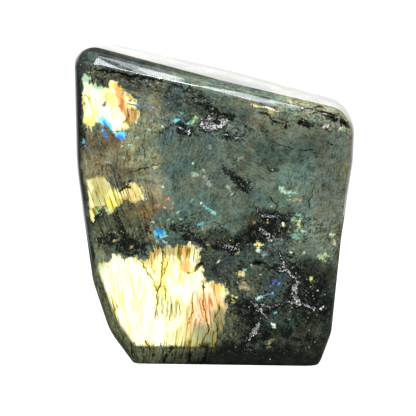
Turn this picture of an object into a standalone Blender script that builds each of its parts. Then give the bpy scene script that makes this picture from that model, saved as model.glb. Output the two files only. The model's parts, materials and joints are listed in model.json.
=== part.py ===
"""A polished labradorite freeform: one block of feldspar that stands on its sawn foot.

Units are metres and +Z is up. The broad flat face looks along -Y and leans back a
little, and the origin lies on the table under the middle of the stone's box.

The block is lofted from closed outlines. Each outline is a list of rounded corners,
given as (x, z, corner radius) in millimetres and read clockwise from the top left as
seen from the front. The flat face, the girth and the back share the same eleven
corners, so that corner number n of one outline faces corner n of the next.
"""

import math

import bmesh
import bpy
from mathutils import Matrix, Vector, noise

MM = 0.001

# The block
THICKNESS_AT_FOOT = 57.0
FRONT_LEAN = math.radians(4.0)
BACK_LEAN = math.radians(2.8)
FRONT_BEVEL_DEPTH = 6.5
BACK_ROUND_DEPTH = 10.0
BACK_ROUND_WIDTH = 9.0
BELLY = 0.6
TOP_RISE_TO_BACK = 2.65
END_SHARE_OF_RISE = 0.35
FOOT_EDGE_BEVEL = 0.7

# The flat polished face
FACE_CORNERS = [
    (-56.9, 134.0, 6.0),
    (-8.0, 124.2, 60.0),
    (60.0, 105.6, 9.0),
    (59.8, 92.0, 40.0),
    (57.3, 60.0, 80.0),
    (52.9, 24.0, 25.0),
    (46.0, 9.2, 6.0),
    (-32.8, 9.2, 6.0),
    (-42.0, 22.6, 30.0),
    (-50.6, 46.6, 50.0),
    (-56.4, 94.0, 120.0),
]

# The widest section, where the rolled front edge has turned into the side walls
GIRTH_CORNERS = [
    (-61.4, 143.0, 8.5),
    (6.0, 125.7, 60.0),
    (63.0, 112.6, 14.0),
    (62.3, 91.0, 40.0),
    (57.3, 56.0, 100.0),
    (53.5, 14.5, 14.0),
    (47.2, -3.0, 9.0),
    (-33.2, -3.0, 4.0),
    (-45.8, 14.0, 30.0),
    (-53.3, 36.5, 40.0),
    (-60.4, 88.0, 120.0),
]
TOP_CORNERS = (0, 1, 2)
CROWN_CORNER = 1
SOFTEST_BACK_CORNER = 15.0

# Samples along an outline: on each corner's arc, and on each straight between two
ARC_POINTS = 6
STRAIGHT_POINTS = 5

# Edge profiles, as (share of the width, share of the depth) from the flat outwards:
# in front a ground facet that rolls over into the wall, behind one full round.
FRONT_PROFILE = [(0.0, 0.0), (0.30, 0.16), (0.60, 0.34), (0.78, 0.52), (0.91, 0.74), (1.0, 1.0)]
BACK_ROUND_STEPS = 5
WALL_STEPS = 4

# Natural pits along the grain boundaries of the face: a path of (x, z) points on the
# face, the pit's half width along that path, and its depth, all in millimetres.
PITS = {
    "upper_pit": ([(-3.9, 108.6), (0.6, 109.6), (5.6, 109.4)], 3.4, 1.4),
    "upper_trail": ([(-13.8, 105.8), (-11.8, 105.0), (-9.6, 105.6)], 1.1, 0.7),
    "middle_trail": ([(3.0, 102.1), (8.4, 101.7), (13.8, 102.6)], 1.1, 0.7),
    "waist_pit": ([(4.6, 53.3), (7.8, 54.2), (11.0, 53.5)], 1.2, 0.8),
    "vein_start": ([(20.6, 70.2), (24.8, 69.6), (29.2, 68.2)], 1.0, 0.7),
    "vein_knot": ([(22.6, 61.4), (25.0, 59.4), (28.2, 58.0)], 1.9, 1.1),
    "vein_upper": ([(29.8, 51.4), (32.0, 47.2), (32.8, 43.4)], 0.9, 0.8),
    "vein_step": ([(34.6, 41.5), (36.2, 40.9)], 0.9, 0.8),
    "vein_bend": ([(37.2, 37.6), (37.3, 34.0), (38.2, 30.4)], 1.7, 1.1),
    "vein_tail": ([(41.2, 28.6), (43.8, 26.8)], 0.9, 0.7),
    "vein_across": ([(33.2, 28.6), (30.0, 28.2), (27.0, 27.6)], 1.0, 0.8),
    "vein_blob": ([(23.6, 27.3), (20.4, 26.6)], 2.0, 1.1),
    "lower_trail": ([(19.9, 19.2), (19.2, 16.0), (17.2, 13.2)], 1.5, 0.9),
}
PIT_SIDES = 8
PIT_LIFT = 0.25
PIT_SEED = 11

STONE_COLOUR = (0.055, 0.075, 0.070, 1.0)


def clear_scene():
    for item in list(bpy.data.objects):
        bpy.data.objects.remove(item, do_unlink=True)


def polished_stone():
    material = bpy.data.materials.new("polished_labradorite")
    material.use_nodes = True
    shader = material.node_tree.nodes["Principled BSDF"]
    shader.inputs["Base Color"].default_value = STONE_COLOUR
    shader.inputs["Roughness"].default_value = 0.12
    shader.inputs["Metallic"].default_value = 0.0
    material.diffuse_color = STONE_COLOUR
    return material


# Outlines

def corner_arc(before, corner, after, radius):
    """Points on the arc that rounds one corner, as 2-D vectors."""
    to_before = (before - corner).normalized()
    to_after = (after - corner).normalized()
    half_angle = to_before.angle(to_after) / 2
    reach = radius / math.tan(half_angle)
    limit = 0.48 * min((before - corner).length, (after - corner).length)
    if reach > limit:
        reach = limit
        radius = reach * math.tan(half_angle)
    middle = (to_before + to_after).normalized()
    centre = corner + middle * (radius / math.sin(half_angle))
    start = corner + to_before * reach - centre
    end = corner + to_after * reach - centre
    turn = start.angle_signed(end)
    return [centre + Matrix.Rotation(-turn * step / (ARC_POINTS - 1), 2) @ start
            for step in range(ARC_POINTS)]


def rounded_outline(corners):
    """A closed outline with ARC_POINTS on every corner and even steps between them."""
    places = [Vector((x, z)) for x, z, _ in corners]
    arcs = []
    for index, (_, _, radius) in enumerate(corners):
        before = places[index - 1]
        after = places[(index + 1) % len(places)]
        arcs.append(corner_arc(before, places[index], after, radius))
    outline = []
    for index, arc in enumerate(arcs):
        outline.extend(arc)
        start = arc[-1]
        end = arcs[(index + 1) % len(arcs)][0]
        for step in range(1, STRAIGHT_POINTS + 1):
            outline.append(start.lerp(end, step / (STRAIGHT_POINTS + 1)))
    return outline


def moved_outward(outline, distance):
    """The outline with every point moved along its outward normal."""
    moved = []
    for index, point in enumerate(outline):
        along = outline[(index + 1) % len(outline)] - outline[index - 1]
        outward = Vector((-along.y, along.x)).normalized()
        moved.append(point + outward * distance)
    return moved


def blended(first, second, share):
    return [a.lerp(b, share) for a, b in zip(first, second)]


def back_girth_corners():
    """The girth behind: softer corners, and a top that rises towards the back."""
    corners = []
    for index, (x, z, radius) in enumerate(GIRTH_CORNERS):
        rise = 0.0
        if index in TOP_CORNERS:
            rise = TOP_RISE_TO_BACK * (1 if index == CROWN_CORNER else END_SHARE_OF_RISE)
        corners.append((x, z + rise, max(radius, SOFTEST_BACK_CORNER)))
    return corners


# The block

def front_y(z):
    return -THICKNESS_AT_FOOT / 2 + z * math.tan(FRONT_LEAN)


def back_y(z):
    return THICKNESS_AT_FOOT / 2 - z * math.tan(BACK_LEAN)


def section_rings():
    """Every ring of the loft from the flat face to the flat back, as 3-D points."""
    face = rounded_outline(FACE_CORNERS)
    girth = rounded_outline(GIRTH_CORNERS)
    back_girth = rounded_outline(back_girth_corners())
    back_flat = moved_outward(back_girth, -BACK_ROUND_WIDTH)
    rings = []
    for width_share, depth_share in FRONT_PROFILE:
        outline = blended(face, girth, width_share)
        depth = depth_share * FRONT_BEVEL_DEPTH
        rings.append([Vector((p.x, front_y(p.y) + depth, p.y)) for p in outline])
    for step in range(1, WALL_STEPS + 1):
        share = step / WALL_STEPS
        outline = moved_outward(blended(girth, back_girth, share), BELLY * math.sin(math.pi * share))
        ring = []
        for point in outline:
            start = front_y(point.y) + FRONT_BEVEL_DEPTH
            end = back_y(point.y) - BACK_ROUND_DEPTH
            ring.append(Vector((point.x, start + (end - start) * share, point.y)))
        rings.append(ring)
    for step in range(1, BACK_ROUND_STEPS + 1):
        angle = math.pi / 2 * step / BACK_ROUND_STEPS
        outline = blended(back_girth, back_flat, 1 - math.cos(angle))
        depth = BACK_ROUND_DEPTH * (1 - math.sin(angle))
        rings.append([Vector((p.x, back_y(p.y) - depth, p.y)) for p in outline])
    return rings


def loft_block():
    """The closed block, before its foot is sawn."""
    mesh = bmesh.new()
    rings = [[mesh.verts.new(point) for point in ring] for ring in section_rings()]
    for near, far in zip(rings, rings[1:]):
        for index in range(len(near)):
            after = (index + 1) % len(near)
            mesh.faces.new((near[index], near[after], far[after], far[index]))
    mesh.faces.new(list(reversed(rings[0])))
    mesh.faces.new(rings[-1])
    bmesh.ops.recalc_face_normals(mesh, faces=mesh.faces)
    return mesh


def saw_foot(mesh):
    """Cut the block level at z = 0, close the cut and break its edge."""
    everything = mesh.verts[:] + mesh.edges[:] + mesh.faces[:]
    cut = bmesh.ops.bisect_plane(
        mesh, geom=everything, dist=0.001, plane_co=(0, 0, 0), plane_no=(0, 0, 1), clear_inner=True)
    rim = [item for item in cut["geom_cut"] if isinstance(item, bmesh.types.BMEdge)]
    bmesh.ops.contextual_create(mesh, geom=rim)
    bmesh.ops.recalc_face_normals(mesh, faces=mesh.faces)
    rim = [edge for edge in mesh.edges if all(abs(vert.co.z) < 0.001 for vert in edge.verts)]
    bmesh.ops.bevel(mesh, geom=rim, offset=FOOT_EDGE_BEVEL, offset_type="OFFSET", segments=1,
                    profile=0.5, affect="EDGES", clamp_overlap=True)


def centre_over_origin(mesh):
    """The move that brings the middle of the block's box over the origin."""
    lowest = [min(vert.co[axis] for vert in mesh.verts) for axis in range(3)]
    highest = [max(vert.co[axis] for vert in mesh.verts) for axis in range(3)]
    return Vector((-(lowest[0] + highest[0]) / 2, -(lowest[1] + highest[1]) / 2, -lowest[2]))


def stone_object(material):
    mesh = loft_block()
    saw_foot(mesh)
    shift = centre_over_origin(mesh)
    bmesh.ops.triangulate(mesh, faces=[face for face in mesh.faces if len(face.verts) > 4])
    bmesh.ops.transform(mesh, matrix=Matrix.Scale(MM, 4) @ Matrix.Translation(shift), verts=mesh.verts)
    data = bpy.data.meshes.new("labradorite_stone")
    mesh.to_mesh(data)
    mesh.free()
    data.shade_smooth()
    data.set_sharp_from_angle(angle=math.radians(35))
    data.materials.append(material)
    stone = bpy.data.objects.new("labradorite_stone", data)
    bpy.context.collection.objects.link(stone)
    return stone, shift


# The pits

def pit_spine(path, steps_between=3):
    """The pit's path on the face, with extra points between the given ones."""
    spine = []
    for start, end in zip(path, path[1:]):
        for step in range(steps_between):
            spine.append(Vector(start).lerp(Vector(end), step / steps_between))
    spine.append(Vector(path[-1]))
    return spine


def add_pit_cutter(mesh, path, half_width, depth, phase):
    """A lumpy closed pod along the path, whose lower part dips under the face."""
    out_of_face = Vector((0, -math.cos(FRONT_LEAN), math.sin(FRONT_LEAN)))
    lift = out_of_face * PIT_LIFT
    pod_depth = depth + PIT_LIFT
    spine = pit_spine(path)
    rings = []
    for index, place in enumerate(spine):
        before = spine[max(index - 1, 0)]
        after = spine[min(index + 1, len(spine) - 1)]
        along = (after - before).normalized()
        across = Vector((-along.y, 0, along.x))
        taper = math.sqrt(max(1 - abs(2 * index / (len(spine) - 1) - 1) ** 2.6, 0.18))
        middle = Vector((place.x, front_y(place.y), place.y)) + lift
        ring = []
        for side in range(PIT_SIDES):
            angle = 2 * math.pi * (side + 0.5) / PIT_SIDES
            lump = 1 + 0.35 * noise.noise(Vector((phase, index * 0.7, side * 0.9)))
            sideways = across * (half_width * taper * lump * math.cos(angle))
            height = out_of_face * (pod_depth * taper * lump * math.sin(angle))
            ring.append(mesh.verts.new(middle + sideways + height))
        rings.append(ring)
    tips = []
    for end, inner in ((0, 1), (-1, -2)):
        overrun = (spine[end] - spine[inner]).normalized() * half_width * 0.4
        tip = spine[end] + overrun
        tips.append(mesh.verts.new(Vector((tip.x, front_y(tip.y), tip.y)) + lift))
    for near, far in zip(rings, rings[1:]):
        for side in range(PIT_SIDES):
            after = (side + 1) % PIT_SIDES
            mesh.faces.new((near[side], near[after], far[after], far[side]))
    for side in range(PIT_SIDES):
        after = (side + 1) % PIT_SIDES
        mesh.faces.new((rings[0][after], rings[0][side], tips[0]))
        mesh.faces.new((rings[-1][side], rings[-1][after], tips[1]))


def pit_cutters(shift):
    """One hidden object that holds the pods of every pit."""
    mesh = bmesh.new()
    for number, (path, half_width, depth) in enumerate(PITS.values()):
        add_pit_cutter(mesh, path, half_width, depth, PIT_SEED + 3.7 * number)
    bmesh.ops.recalc_face_normals(mesh, faces=mesh.faces)
    bmesh.ops.transform(mesh, matrix=Matrix.Scale(MM, 4) @ Matrix.Translation(shift), verts=mesh.verts)
    data = bpy.data.meshes.new("pit_cutters")
    mesh.to_mesh(data)
    mesh.free()
    cutter = bpy.data.objects.new("pit_cutters", data)
    bpy.context.collection.objects.link(cutter)
    cutter.hide_render = True
    cutter.display_type = "WIRE"
    return cutter


def carve_pits(stone, cutter):
    carve = stone.modifiers.new("pits", "BOOLEAN")
    carve.operation = "DIFFERENCE"
    carve.solver = "EXACT"
    carve.object = cutter


def main():
    clear_scene()
    stone, shift = stone_object(polished_stone())
    carve_pits(stone, pit_cutters(shift))


main()
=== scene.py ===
# %% [markdown]
# # A polished labradorite freeform
#
# This file dresses one stone: a block of labradorite feldspar, sawn level underneath and
# polished all over. Each step first says what the real stone has there, how it could be
# made in Blender, and why this way was chosen.
#
# Everything here is in metres and stands where that solid stands, so nothing needs to be
# fitted afterwards. The box of the solid is kept from the very start, because the dressed
# stone has to stay inside it.

# %% Load the frame
import json
import math

import bmesh
import bpy
import numpy as np
from mathutils import Matrix, Vector
from mathutils.bvhtree import BVHTree
from mathutils.geometry import delaunay_2d_cdt

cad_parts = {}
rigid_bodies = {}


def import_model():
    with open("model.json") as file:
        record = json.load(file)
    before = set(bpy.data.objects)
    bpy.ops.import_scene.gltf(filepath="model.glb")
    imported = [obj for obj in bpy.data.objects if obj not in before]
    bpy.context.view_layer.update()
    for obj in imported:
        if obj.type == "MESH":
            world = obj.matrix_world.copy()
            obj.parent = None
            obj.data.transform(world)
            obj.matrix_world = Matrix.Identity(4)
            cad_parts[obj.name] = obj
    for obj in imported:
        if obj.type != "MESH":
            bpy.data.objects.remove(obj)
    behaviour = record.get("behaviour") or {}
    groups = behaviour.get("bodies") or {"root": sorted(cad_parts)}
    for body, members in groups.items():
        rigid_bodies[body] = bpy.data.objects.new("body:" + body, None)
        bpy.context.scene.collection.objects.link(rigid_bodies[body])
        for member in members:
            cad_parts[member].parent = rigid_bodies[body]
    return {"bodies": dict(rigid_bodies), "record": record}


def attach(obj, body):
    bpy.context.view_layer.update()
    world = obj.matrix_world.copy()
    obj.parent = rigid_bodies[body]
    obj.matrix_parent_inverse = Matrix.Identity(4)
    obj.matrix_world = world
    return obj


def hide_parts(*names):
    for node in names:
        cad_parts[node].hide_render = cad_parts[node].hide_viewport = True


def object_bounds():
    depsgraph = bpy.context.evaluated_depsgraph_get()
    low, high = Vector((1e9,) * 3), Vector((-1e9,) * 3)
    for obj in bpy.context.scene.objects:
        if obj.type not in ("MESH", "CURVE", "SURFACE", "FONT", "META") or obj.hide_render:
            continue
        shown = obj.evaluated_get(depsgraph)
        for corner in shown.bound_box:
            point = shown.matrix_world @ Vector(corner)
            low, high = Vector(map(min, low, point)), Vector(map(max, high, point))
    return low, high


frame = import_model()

NODE = "labradorite_stone"
BODY = next(iter(frame["bodies"]))
SLOT = frame["record"]["materials"][0]["slot"]
SOLID_BOX = [list(corner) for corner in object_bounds()]
MM = 0.001
print("solid", NODE, "on body", BODY, "with slot", SLOT)
print("box of the solid in mm", [[round(v / MM, 1) for v in corner] for corner in SOLID_BOX])

# %% [markdown]
# ## The outlines of the block
#
# A freeform is ground by hand, so its outline is a chain of nearly straight runs with
# rounded corners. A spline through many points would wobble, and a bevelled box would look
# machined. Here each outline is a short list of corners with a radius, in millimetres, and
# every corner of the flat face has its partner on the girth, the widest section.

# %% Outline corners in millimetres: x, z, radius
FACE_CORNERS = [
    (-56.9, 134.0, 6.0), (-8.0, 124.2, 60.0), (60.0, 105.6, 9.0), (59.8, 92.0, 40.0),
    (57.3, 60.0, 80.0), (52.9, 24.0, 25.0), (46.0, 9.2, 6.0), (-32.8, 9.2, 6.0),
    (-42.0, 22.6, 30.0), (-50.6, 46.6, 50.0), (-56.4, 94.0, 120.0),
]
GIRTH_CORNERS = [
    (-61.4, 143.0, 8.5), (6.0, 125.7, 60.0), (63.0, 112.6, 14.0), (62.3, 91.0, 40.0),
    (57.3, 56.0, 100.0), (53.5, 14.5, 14.0), (47.2, -3.0, 9.0), (-33.2, -3.0, 4.0),
    (-45.8, 14.0, 30.0), (-53.3, 36.5, 40.0), (-60.4, 88.0, 120.0),
]
print(len(FACE_CORNERS), "corners on each outline")

# %% [markdown]
# ## The measures of the block
#
# The two flat faces lean towards each other, so the block is thinner at the top. Its top
# rises a little towards the back, most of all at its middle corner, and the corners are
# softer there, because nobody grinds the back as carefully as the face. The rolled front
# edge is given as shares of its width and depth: a ground facet first, then a round.

# %% Measures in millimetres
THICKNESS_AT_FOOT = 57.0
FRONT_LEAN = math.radians(4.0)
BACK_LEAN = math.radians(2.8)
FRONT_BEVEL_DEPTH = 6.5
BACK_ROUND_DEPTH = 10.0
BACK_ROUND_WIDTH = 9.0
BELLY = 0.6
FOOT_EDGE_BEVEL = 0.7
FRONT_PROFILE = [
    (0.0, 0.0), (0.07, 0.014), (0.30, 0.15), (0.60, 0.34), (0.78, 0.52), (0.91, 0.74), (1.0, 1.0),
]

TOP_CORNERS = (0, 1, 2)
MIDDLE_TOP_CORNER = 1
SOFTEST_BACK_CORNER = 15.0
TOP_RISE_TO_BACK = 2.65
END_SHARE_OF_RISE = 0.35


def back_girth_corners():
    """The girth behind: softer corners, and a top that rises towards the back."""
    corners = []
    for index, (x, z, radius) in enumerate(GIRTH_CORNERS):
        rise = 0.0
        if index in TOP_CORNERS:
            rise = TOP_RISE_TO_BACK * (1 if index == MIDDLE_TOP_CORNER else END_SHARE_OF_RISE)
        corners.append((x, z + rise, max(radius, SOFTEST_BACK_CORNER)))
    return corners


print("rise of each top corner towards the back in mm",
      [round(back_girth_corners()[index][1] - GIRTH_CORNERS[index][1], 2) for index in TOP_CORNERS])

# %% [markdown]
# ## From corners to fine outlines
#
# The arc at a corner touches both of its straights, so its centre lies on the corner's
# bisector. With the same number of points on every arc and every straight, point number n
# of one outline always faces point number n of the next, and the outlines can be joined by
# plain rows of quads.

# %% Rounded outlines as arrays
ARC_POINTS = 16
STRAIGHT_POINTS = 30
LONGEST_ARC_SHARE = 0.48


def unit(vectors):
    return vectors / np.linalg.norm(vectors, axis=-1, keepdims=True)


def corner_arc(before, corner, after, radius):
    """Points on the arc that rounds one corner."""
    ways = unit(np.array([before - corner, after - corner]))
    half_angle = math.acos(np.clip(ways[0] @ ways[1], -1, 1)) / 2
    longest = LONGEST_ARC_SHARE * min(np.linalg.norm(before - corner), np.linalg.norm(after - corner))
    reach = min(radius / math.tan(half_angle), longest)
    centre = corner + unit(ways[0] + ways[1]) * reach / math.cos(half_angle)
    start, end = corner + ways * reach - centre
    turn = math.atan2(start[0] * end[1] - start[1] * end[0], start @ end)
    angles = np.linspace(0, turn, ARC_POINTS)
    cos, sin = np.cos(angles), np.sin(angles)
    return centre + np.stack([cos * start[0] - sin * start[1], sin * start[0] + cos * start[1]], 1)


def rounded_outline(corners):
    """A closed outline of (x, z) points, clockwise from the top left."""
    places = np.array([corner[:2] for corner in corners])
    arcs = [corner_arc(places[i - 1], places[i], places[(i + 1) % len(places)], corners[i][2])
            for i in range(len(corners))]
    rows = []
    for index, arc in enumerate(arcs):
        share = (np.arange(STRAIGHT_POINTS) + 1)[:, None] / (STRAIGHT_POINTS + 1)
        rows += [arc, arc[-1] + (arcs[(index + 1) % len(arcs)][0] - arc[-1]) * share]
    return np.concatenate(rows)


def outward_of(outline):
    along = np.roll(outline, -1, axis=0) - np.roll(outline, 1, axis=0)
    return unit(np.stack([-along[:, 1], along[:, 0]], 1))


face = rounded_outline(FACE_CORNERS)
girth = rounded_outline(GIRTH_CORNERS)
back_girth = rounded_outline(back_girth_corners())
back_flat = back_girth - outward_of(back_girth) * BACK_ROUND_WIDTH
print(len(face), "points on each outline")

# %% [markdown]
# ## Rings from the face to the back
#
# The front edge of the real stone is a ground facet that rolls over into the side wall,
# and the back edge is one full round. A Bevel modifier would give every side the same
# edge, but a hand-ground edge is wide on top and narrow on the right. So the edge is a
# profile of shares: its width at each point is whatever lies between face and girth there.

# %% Helpers for rings
PROFILE_SAMPLES = 200
SMOOTHING_ROUNDS = 60


def front_y(z):
    return -THICKNESS_AT_FOOT / 2 + z * math.tan(FRONT_LEAN)


def back_y(z):
    return THICKNESS_AT_FOOT / 2 - z * math.tan(BACK_LEAN)


def smooth_profile(points, count):
    """A profile read finely from a few of its points, with rounded bends."""
    points = np.array(points)
    at = np.linspace(0, len(points) - 1, PROFILE_SAMPLES)
    fine = np.stack([np.interp(at, range(len(points)), points[:, axis]) for axis in range(2)], 1)
    for _ in range(SMOOTHING_ROUNDS):
        fine[1:-1] = (fine[:-2] + fine[1:-1] * 2 + fine[2:]) / 4
    length = np.concatenate([[0], np.cumsum(np.linalg.norm(np.diff(fine, axis=0), axis=1))])
    steps = np.linspace(0, length[-1], count)
    return np.stack([np.interp(steps, length, fine[:, axis]) for axis in range(2)], 1)


def ring(outline, y):
    return np.stack([outline[:, 0], y, outline[:, 1]], 1)


print("thickness at the foot and at 100 mm up", [round(back_y(z) - front_y(z), 1) for z in (0, 100)])

# %% [markdown]
# ## Stacking the rings
#
# Now the profile is followed from the flat face outwards, then the wall towards the back,
# which swells a little in its middle, and then a quarter circle in onto the flat back.

# %% Stack the rings
EDGE_RINGS, WALL_RINGS, BACK_RINGS = 16, 20, 12

rings = []
for width_share, depth_share in smooth_profile(FRONT_PROFILE, EDGE_RINGS):
    outline = face + (girth - face) * width_share
    rings.append(ring(outline, front_y(outline[:, 1]) + depth_share * FRONT_BEVEL_DEPTH))
for share in np.linspace(0, 1, WALL_RINGS + 1)[1:]:
    outline = girth + (back_girth - girth) * share
    outline = outline + outward_of(outline) * BELLY * math.sin(math.pi * share)
    start = front_y(outline[:, 1]) + FRONT_BEVEL_DEPTH
    end = back_y(outline[:, 1]) - BACK_ROUND_DEPTH
    rings.append(ring(outline, start + (end - start) * share))
for angle in np.linspace(0, math.pi / 2, BACK_RINGS + 1)[1:]:
    outline = back_girth + (back_flat - back_girth) * (1 - math.cos(angle))
    rings.append(ring(outline, back_y(outline[:, 1]) - BACK_ROUND_DEPTH * (1 - math.sin(angle))))
print(len(rings), "rings")

# %% [markdown]
# ## The flat faces
#
# The points of the mesh carry the colours and the pits, so the flat face needs points all
# over and not only round its rim. A triangular lattice gives the finest detail for its
# number of triangles, and a Delaunay triangulation ties it to the rim without a gap. The
# back is seen less, so its lattice is wider.

# %% A lattice inside an outline
FACE_LATTICE = 0.50
BACK_LATTICE = 1.25
GAP_TO_RIM = 0.6


def inside_outline(points, outline):
    """Which points lie inside a closed outline, by counting crossings."""
    inside = np.zeros(len(points), bool)
    for a, b in zip(outline, np.roll(outline, -1, axis=0)):
        if a[1] == b[1]:
            continue
        spans = (points[:, 1] > min(a[1], b[1])) & (points[:, 1] <= max(a[1], b[1]))
        crossing = a[0] + (points[:, 1] - a[1]) / (b[1] - a[1]) * (b[0] - a[0])
        inside ^= spans & (points[:, 0] < crossing)
    return inside


def lattice_inside(outline, spacing):
    low, high = outline.min(axis=0), outline.max(axis=0)
    rows = np.arange(low[1], high[1], spacing * math.sqrt(3) / 2)
    columns = np.arange(low[0], high[0], spacing)
    x, z = np.meshgrid(columns, rows)
    x = x + spacing / 2 * (np.arange(len(rows)) % 2)[:, None]
    points = np.stack([x.ravel(), z.ravel()], 1)
    shrunk = outline - outward_of(outline) * spacing * GAP_TO_RIM
    return points[inside_outline(points, shrunk)]


def filled_outline(outline, spacing):
    """Points and triangles that fill an outline, the outline's own points first."""
    inner = lattice_inside(outline, spacing)
    points = np.concatenate([outline, inner])
    rim = [(i, (i + 1) % len(outline)) for i in range(len(outline))]
    made = delaunay_2d_cdt([Vector(p) for p in points], rim, [], 1, 1e-5)
    kept = [names[0] for names in made[3]]
    return points, [tuple(kept[corner] for corner in triangle) for triangle in made[2]]


front_points, front_triangles = filled_outline(rings[0][:, [0, 2]], FACE_LATTICE)
back_points, back_triangles = filled_outline(rings[-1][:, [0, 2]], BACK_LATTICE)
print(len(front_triangles), "triangles on the face,", len(back_triangles), "on the back")

# %% [markdown]
# ## One closed skin
#
# The rings and the two filled faces share their rim points, so together they are already
# one closed surface. The saw cut of the foot is a bisection at the table's height, closed
# by one face, and its sharp edge is broken by a small bevel as a lapidary would do.

# %% Build the skin and saw the foot
SAW_TOLERANCE = 0.01


def closed_skin():
    """The block as a bmesh in millimetres, front rim first."""
    mesh = bmesh.new()
    rows = [[mesh.verts.new(point) for point in row] for row in rings]
    count = len(rows[0])
    for near, far in zip(rows, rows[1:]):
        for index in range(count):
            after = (index + 1) % count
            mesh.faces.new((near[index], near[after], far[after], far[index]))
    for rim, points, triangles, level in ((rows[0], front_points, front_triangles, front_y),
                                          (rows[-1], back_points, back_triangles, back_y)):
        verts = rim + [mesh.verts.new((x, level(z), z)) for x, z in points[count:]]
        for triangle in triangles:
            mesh.faces.new([verts[corner] for corner in triangle])
    bmesh.ops.recalc_face_normals(mesh, faces=mesh.faces)
    return mesh


def saw_foot(mesh):
    everything = mesh.verts[:] + mesh.edges[:] + mesh.faces[:]
    cut = bmesh.ops.bisect_plane(
        mesh, geom=everything, dist=SAW_TOLERANCE, plane_co=(0, 0, 0), plane_no=(0, 0, 1),
        clear_inner=True)
    rim = [item for item in cut["geom_cut"] if isinstance(item, bmesh.types.BMEdge)]
    bmesh.ops.contextual_create(mesh, geom=rim)
    for vert in mesh.verts:
        if abs(vert.co.z) < SAW_TOLERANCE * 2:
            vert.co.z = 0
    rim = [edge for edge in mesh.edges if all(vert.co.z == 0 for vert in edge.verts)]
    bmesh.ops.bevel(mesh, geom=rim, offset=FOOT_EDGE_BEVEL, segments=2, profile=0.5,
                    affect="EDGES", clamp_overlap=True)
    bmesh.ops.recalc_face_normals(mesh, faces=mesh.faces)


print("skin and saw are ready")

# %% [markdown]
# ## The finished skin and its fit
#
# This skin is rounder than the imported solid, so its box comes out a few hundredths of a
# millimetre off. The shift to the solid's middle and the last hair of size are worked out
# here. They are applied when the skin goes into metres, so that every place below can
# still be given in the millimetres of the outlines.

# %% Make the skin and measure how it sits in the solid's box
INSIDE_SOLID = 0.99995
SAME_POINT = 0.002

skin = closed_skin()
saw_foot(skin)
bmesh.ops.remove_doubles(skin, verts=skin.verts, dist=SAME_POINT)
bmesh.ops.triangulate(skin, faces=[f for f in skin.faces if len(f.verts) > 4])
points = np.array([vert.co for vert in skin.verts])
lowest, highest = points.min(axis=0), points.max(axis=0)
solid_lowest, solid_highest = np.array(SOLID_BOX) / MM
shift = ((solid_lowest + solid_highest) / 2 - (lowest + highest) / 2) * (1, 1, 0)
to_solid_size = (solid_highest - solid_lowest) * INSIDE_SOLID / (highest - lowest)
open_edges = sum(not edge.is_manifold for edge in skin.edges)
print(len(skin.verts), "points,", open_edges, "open edges, moved by", shift.round(2), "mm")
print("resized by", to_solid_size.round(5))

# %% [markdown]
# ## Reading the stone as a map
#
# Every colour patch, flake and crack of the face is given by its place in millimetres on
# that face, as x and z. A point of the skin also knows how deep it lies behind the flat
# face and behind the flat back, so patches can end where the polish turns away.

# %% Places on the skin
place = points[:, [0, 2]]
behind_face = points[:, 1] - front_y(points[:, 2])
behind_back = back_y(points[:, 2]) - points[:, 1]
thickness = behind_face + behind_back


def step_between(low, high, value):
    """0 below low, 1 above high, and a smooth rise between them."""
    share = np.clip((value - low) / (high - low), 0, 1)
    return share * share * (3 - 2 * share)


on_front = step_between(0.75, 0.25, behind_face / thickness)
print("points on the face", int((behind_face < 0.05).sum()))

# %% [markdown]
# ## A noise of our own
#
# The outlines of the patches need to wander as mineral grains do. The shader has noise
# textures, but the distances below are worked out before the shader runs, so a small
# lattice noise is written here. Its table of random numbers is fixed, so the stone comes
# out the same every time.

# %% Lattice noise
TABLE_SIZE = 65536
NOISE_TABLE = np.random.default_rng(7).random(TABLE_SIZE)
HASH_STEPS = np.array([73856093, 19349663, 83492791])
HASH_OF_SEED = 9176
FINER = 2.7


def lattice_noise(where, seed=0):
    """Smooth noise from 0 to 1 at 2-D or 3-D places."""
    base = np.floor(where).astype(np.int64)
    part = where - base
    part = part * part * (3 - 2 * part)
    size = where.shape[1]
    total = np.zeros(len(where))
    for corner in range(2 ** size):
        offsets = np.array([(corner >> axis) & 1 for axis in range(size)])
        weight = np.prod(np.where(offsets, part, 1 - part), axis=1)
        key = ((base + offsets) * HASH_STEPS[:size]).sum(axis=1) + seed * HASH_OF_SEED
        total += weight * NOISE_TABLE[key % TABLE_SIZE]
    return total


def wandered(where, reach, grain, seed):
    """Places pushed about by noise: reach millimetres at most, over grain millimetres."""
    pushes = [lattice_noise(where / grain, seed + axis) - 0.5 for axis in range(2)]
    finer = [lattice_noise(where / grain * FINER, seed + 5 + axis) - 0.5 for axis in range(2)]
    return where + reach * 2 * (np.stack(pushes, 1) + 0.5 * np.stack(finer, 1))


broad_place = wandered(place, reach=2.6, grain=9.0, seed=20)
fine_place = wandered(place, reach=0.7, grain=2.4, seed=40)
print("wandered by at most", np.abs(broad_place - place).max().round(1), "mm")

# %% [markdown]
# ## Colours, blobs and depths
#
# Three helpers carry the whole map. Colours are given as they look, from 0 to 255, and
# turned into the linear light that a shader wants. A blob is a soft ellipse. The depth
# inside an outline is the distance to its nearest side, which is what lets a rim be moved
# or roughened later.

# %% Helpers for colours, blobs and depths


def linear(colour):
    """A colour as seen, 0 to 255, as the linear light that the shader wants."""
    share = np.array(colour) / 255
    return np.where(share <= 0.04045, share / 12.92, ((share + 0.055) / 1.055) ** 2.4)


def along_and_across(where, x, z, turn):
    """Places measured along and across a line through (x, z) at a turn in degrees."""
    angle = math.radians(turn)
    dx, dz = where[:, 0] - x, where[:, 1] - z
    return dx * math.cos(angle) + dz * math.sin(angle), dz * math.cos(angle) - dx * math.sin(angle)


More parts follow.
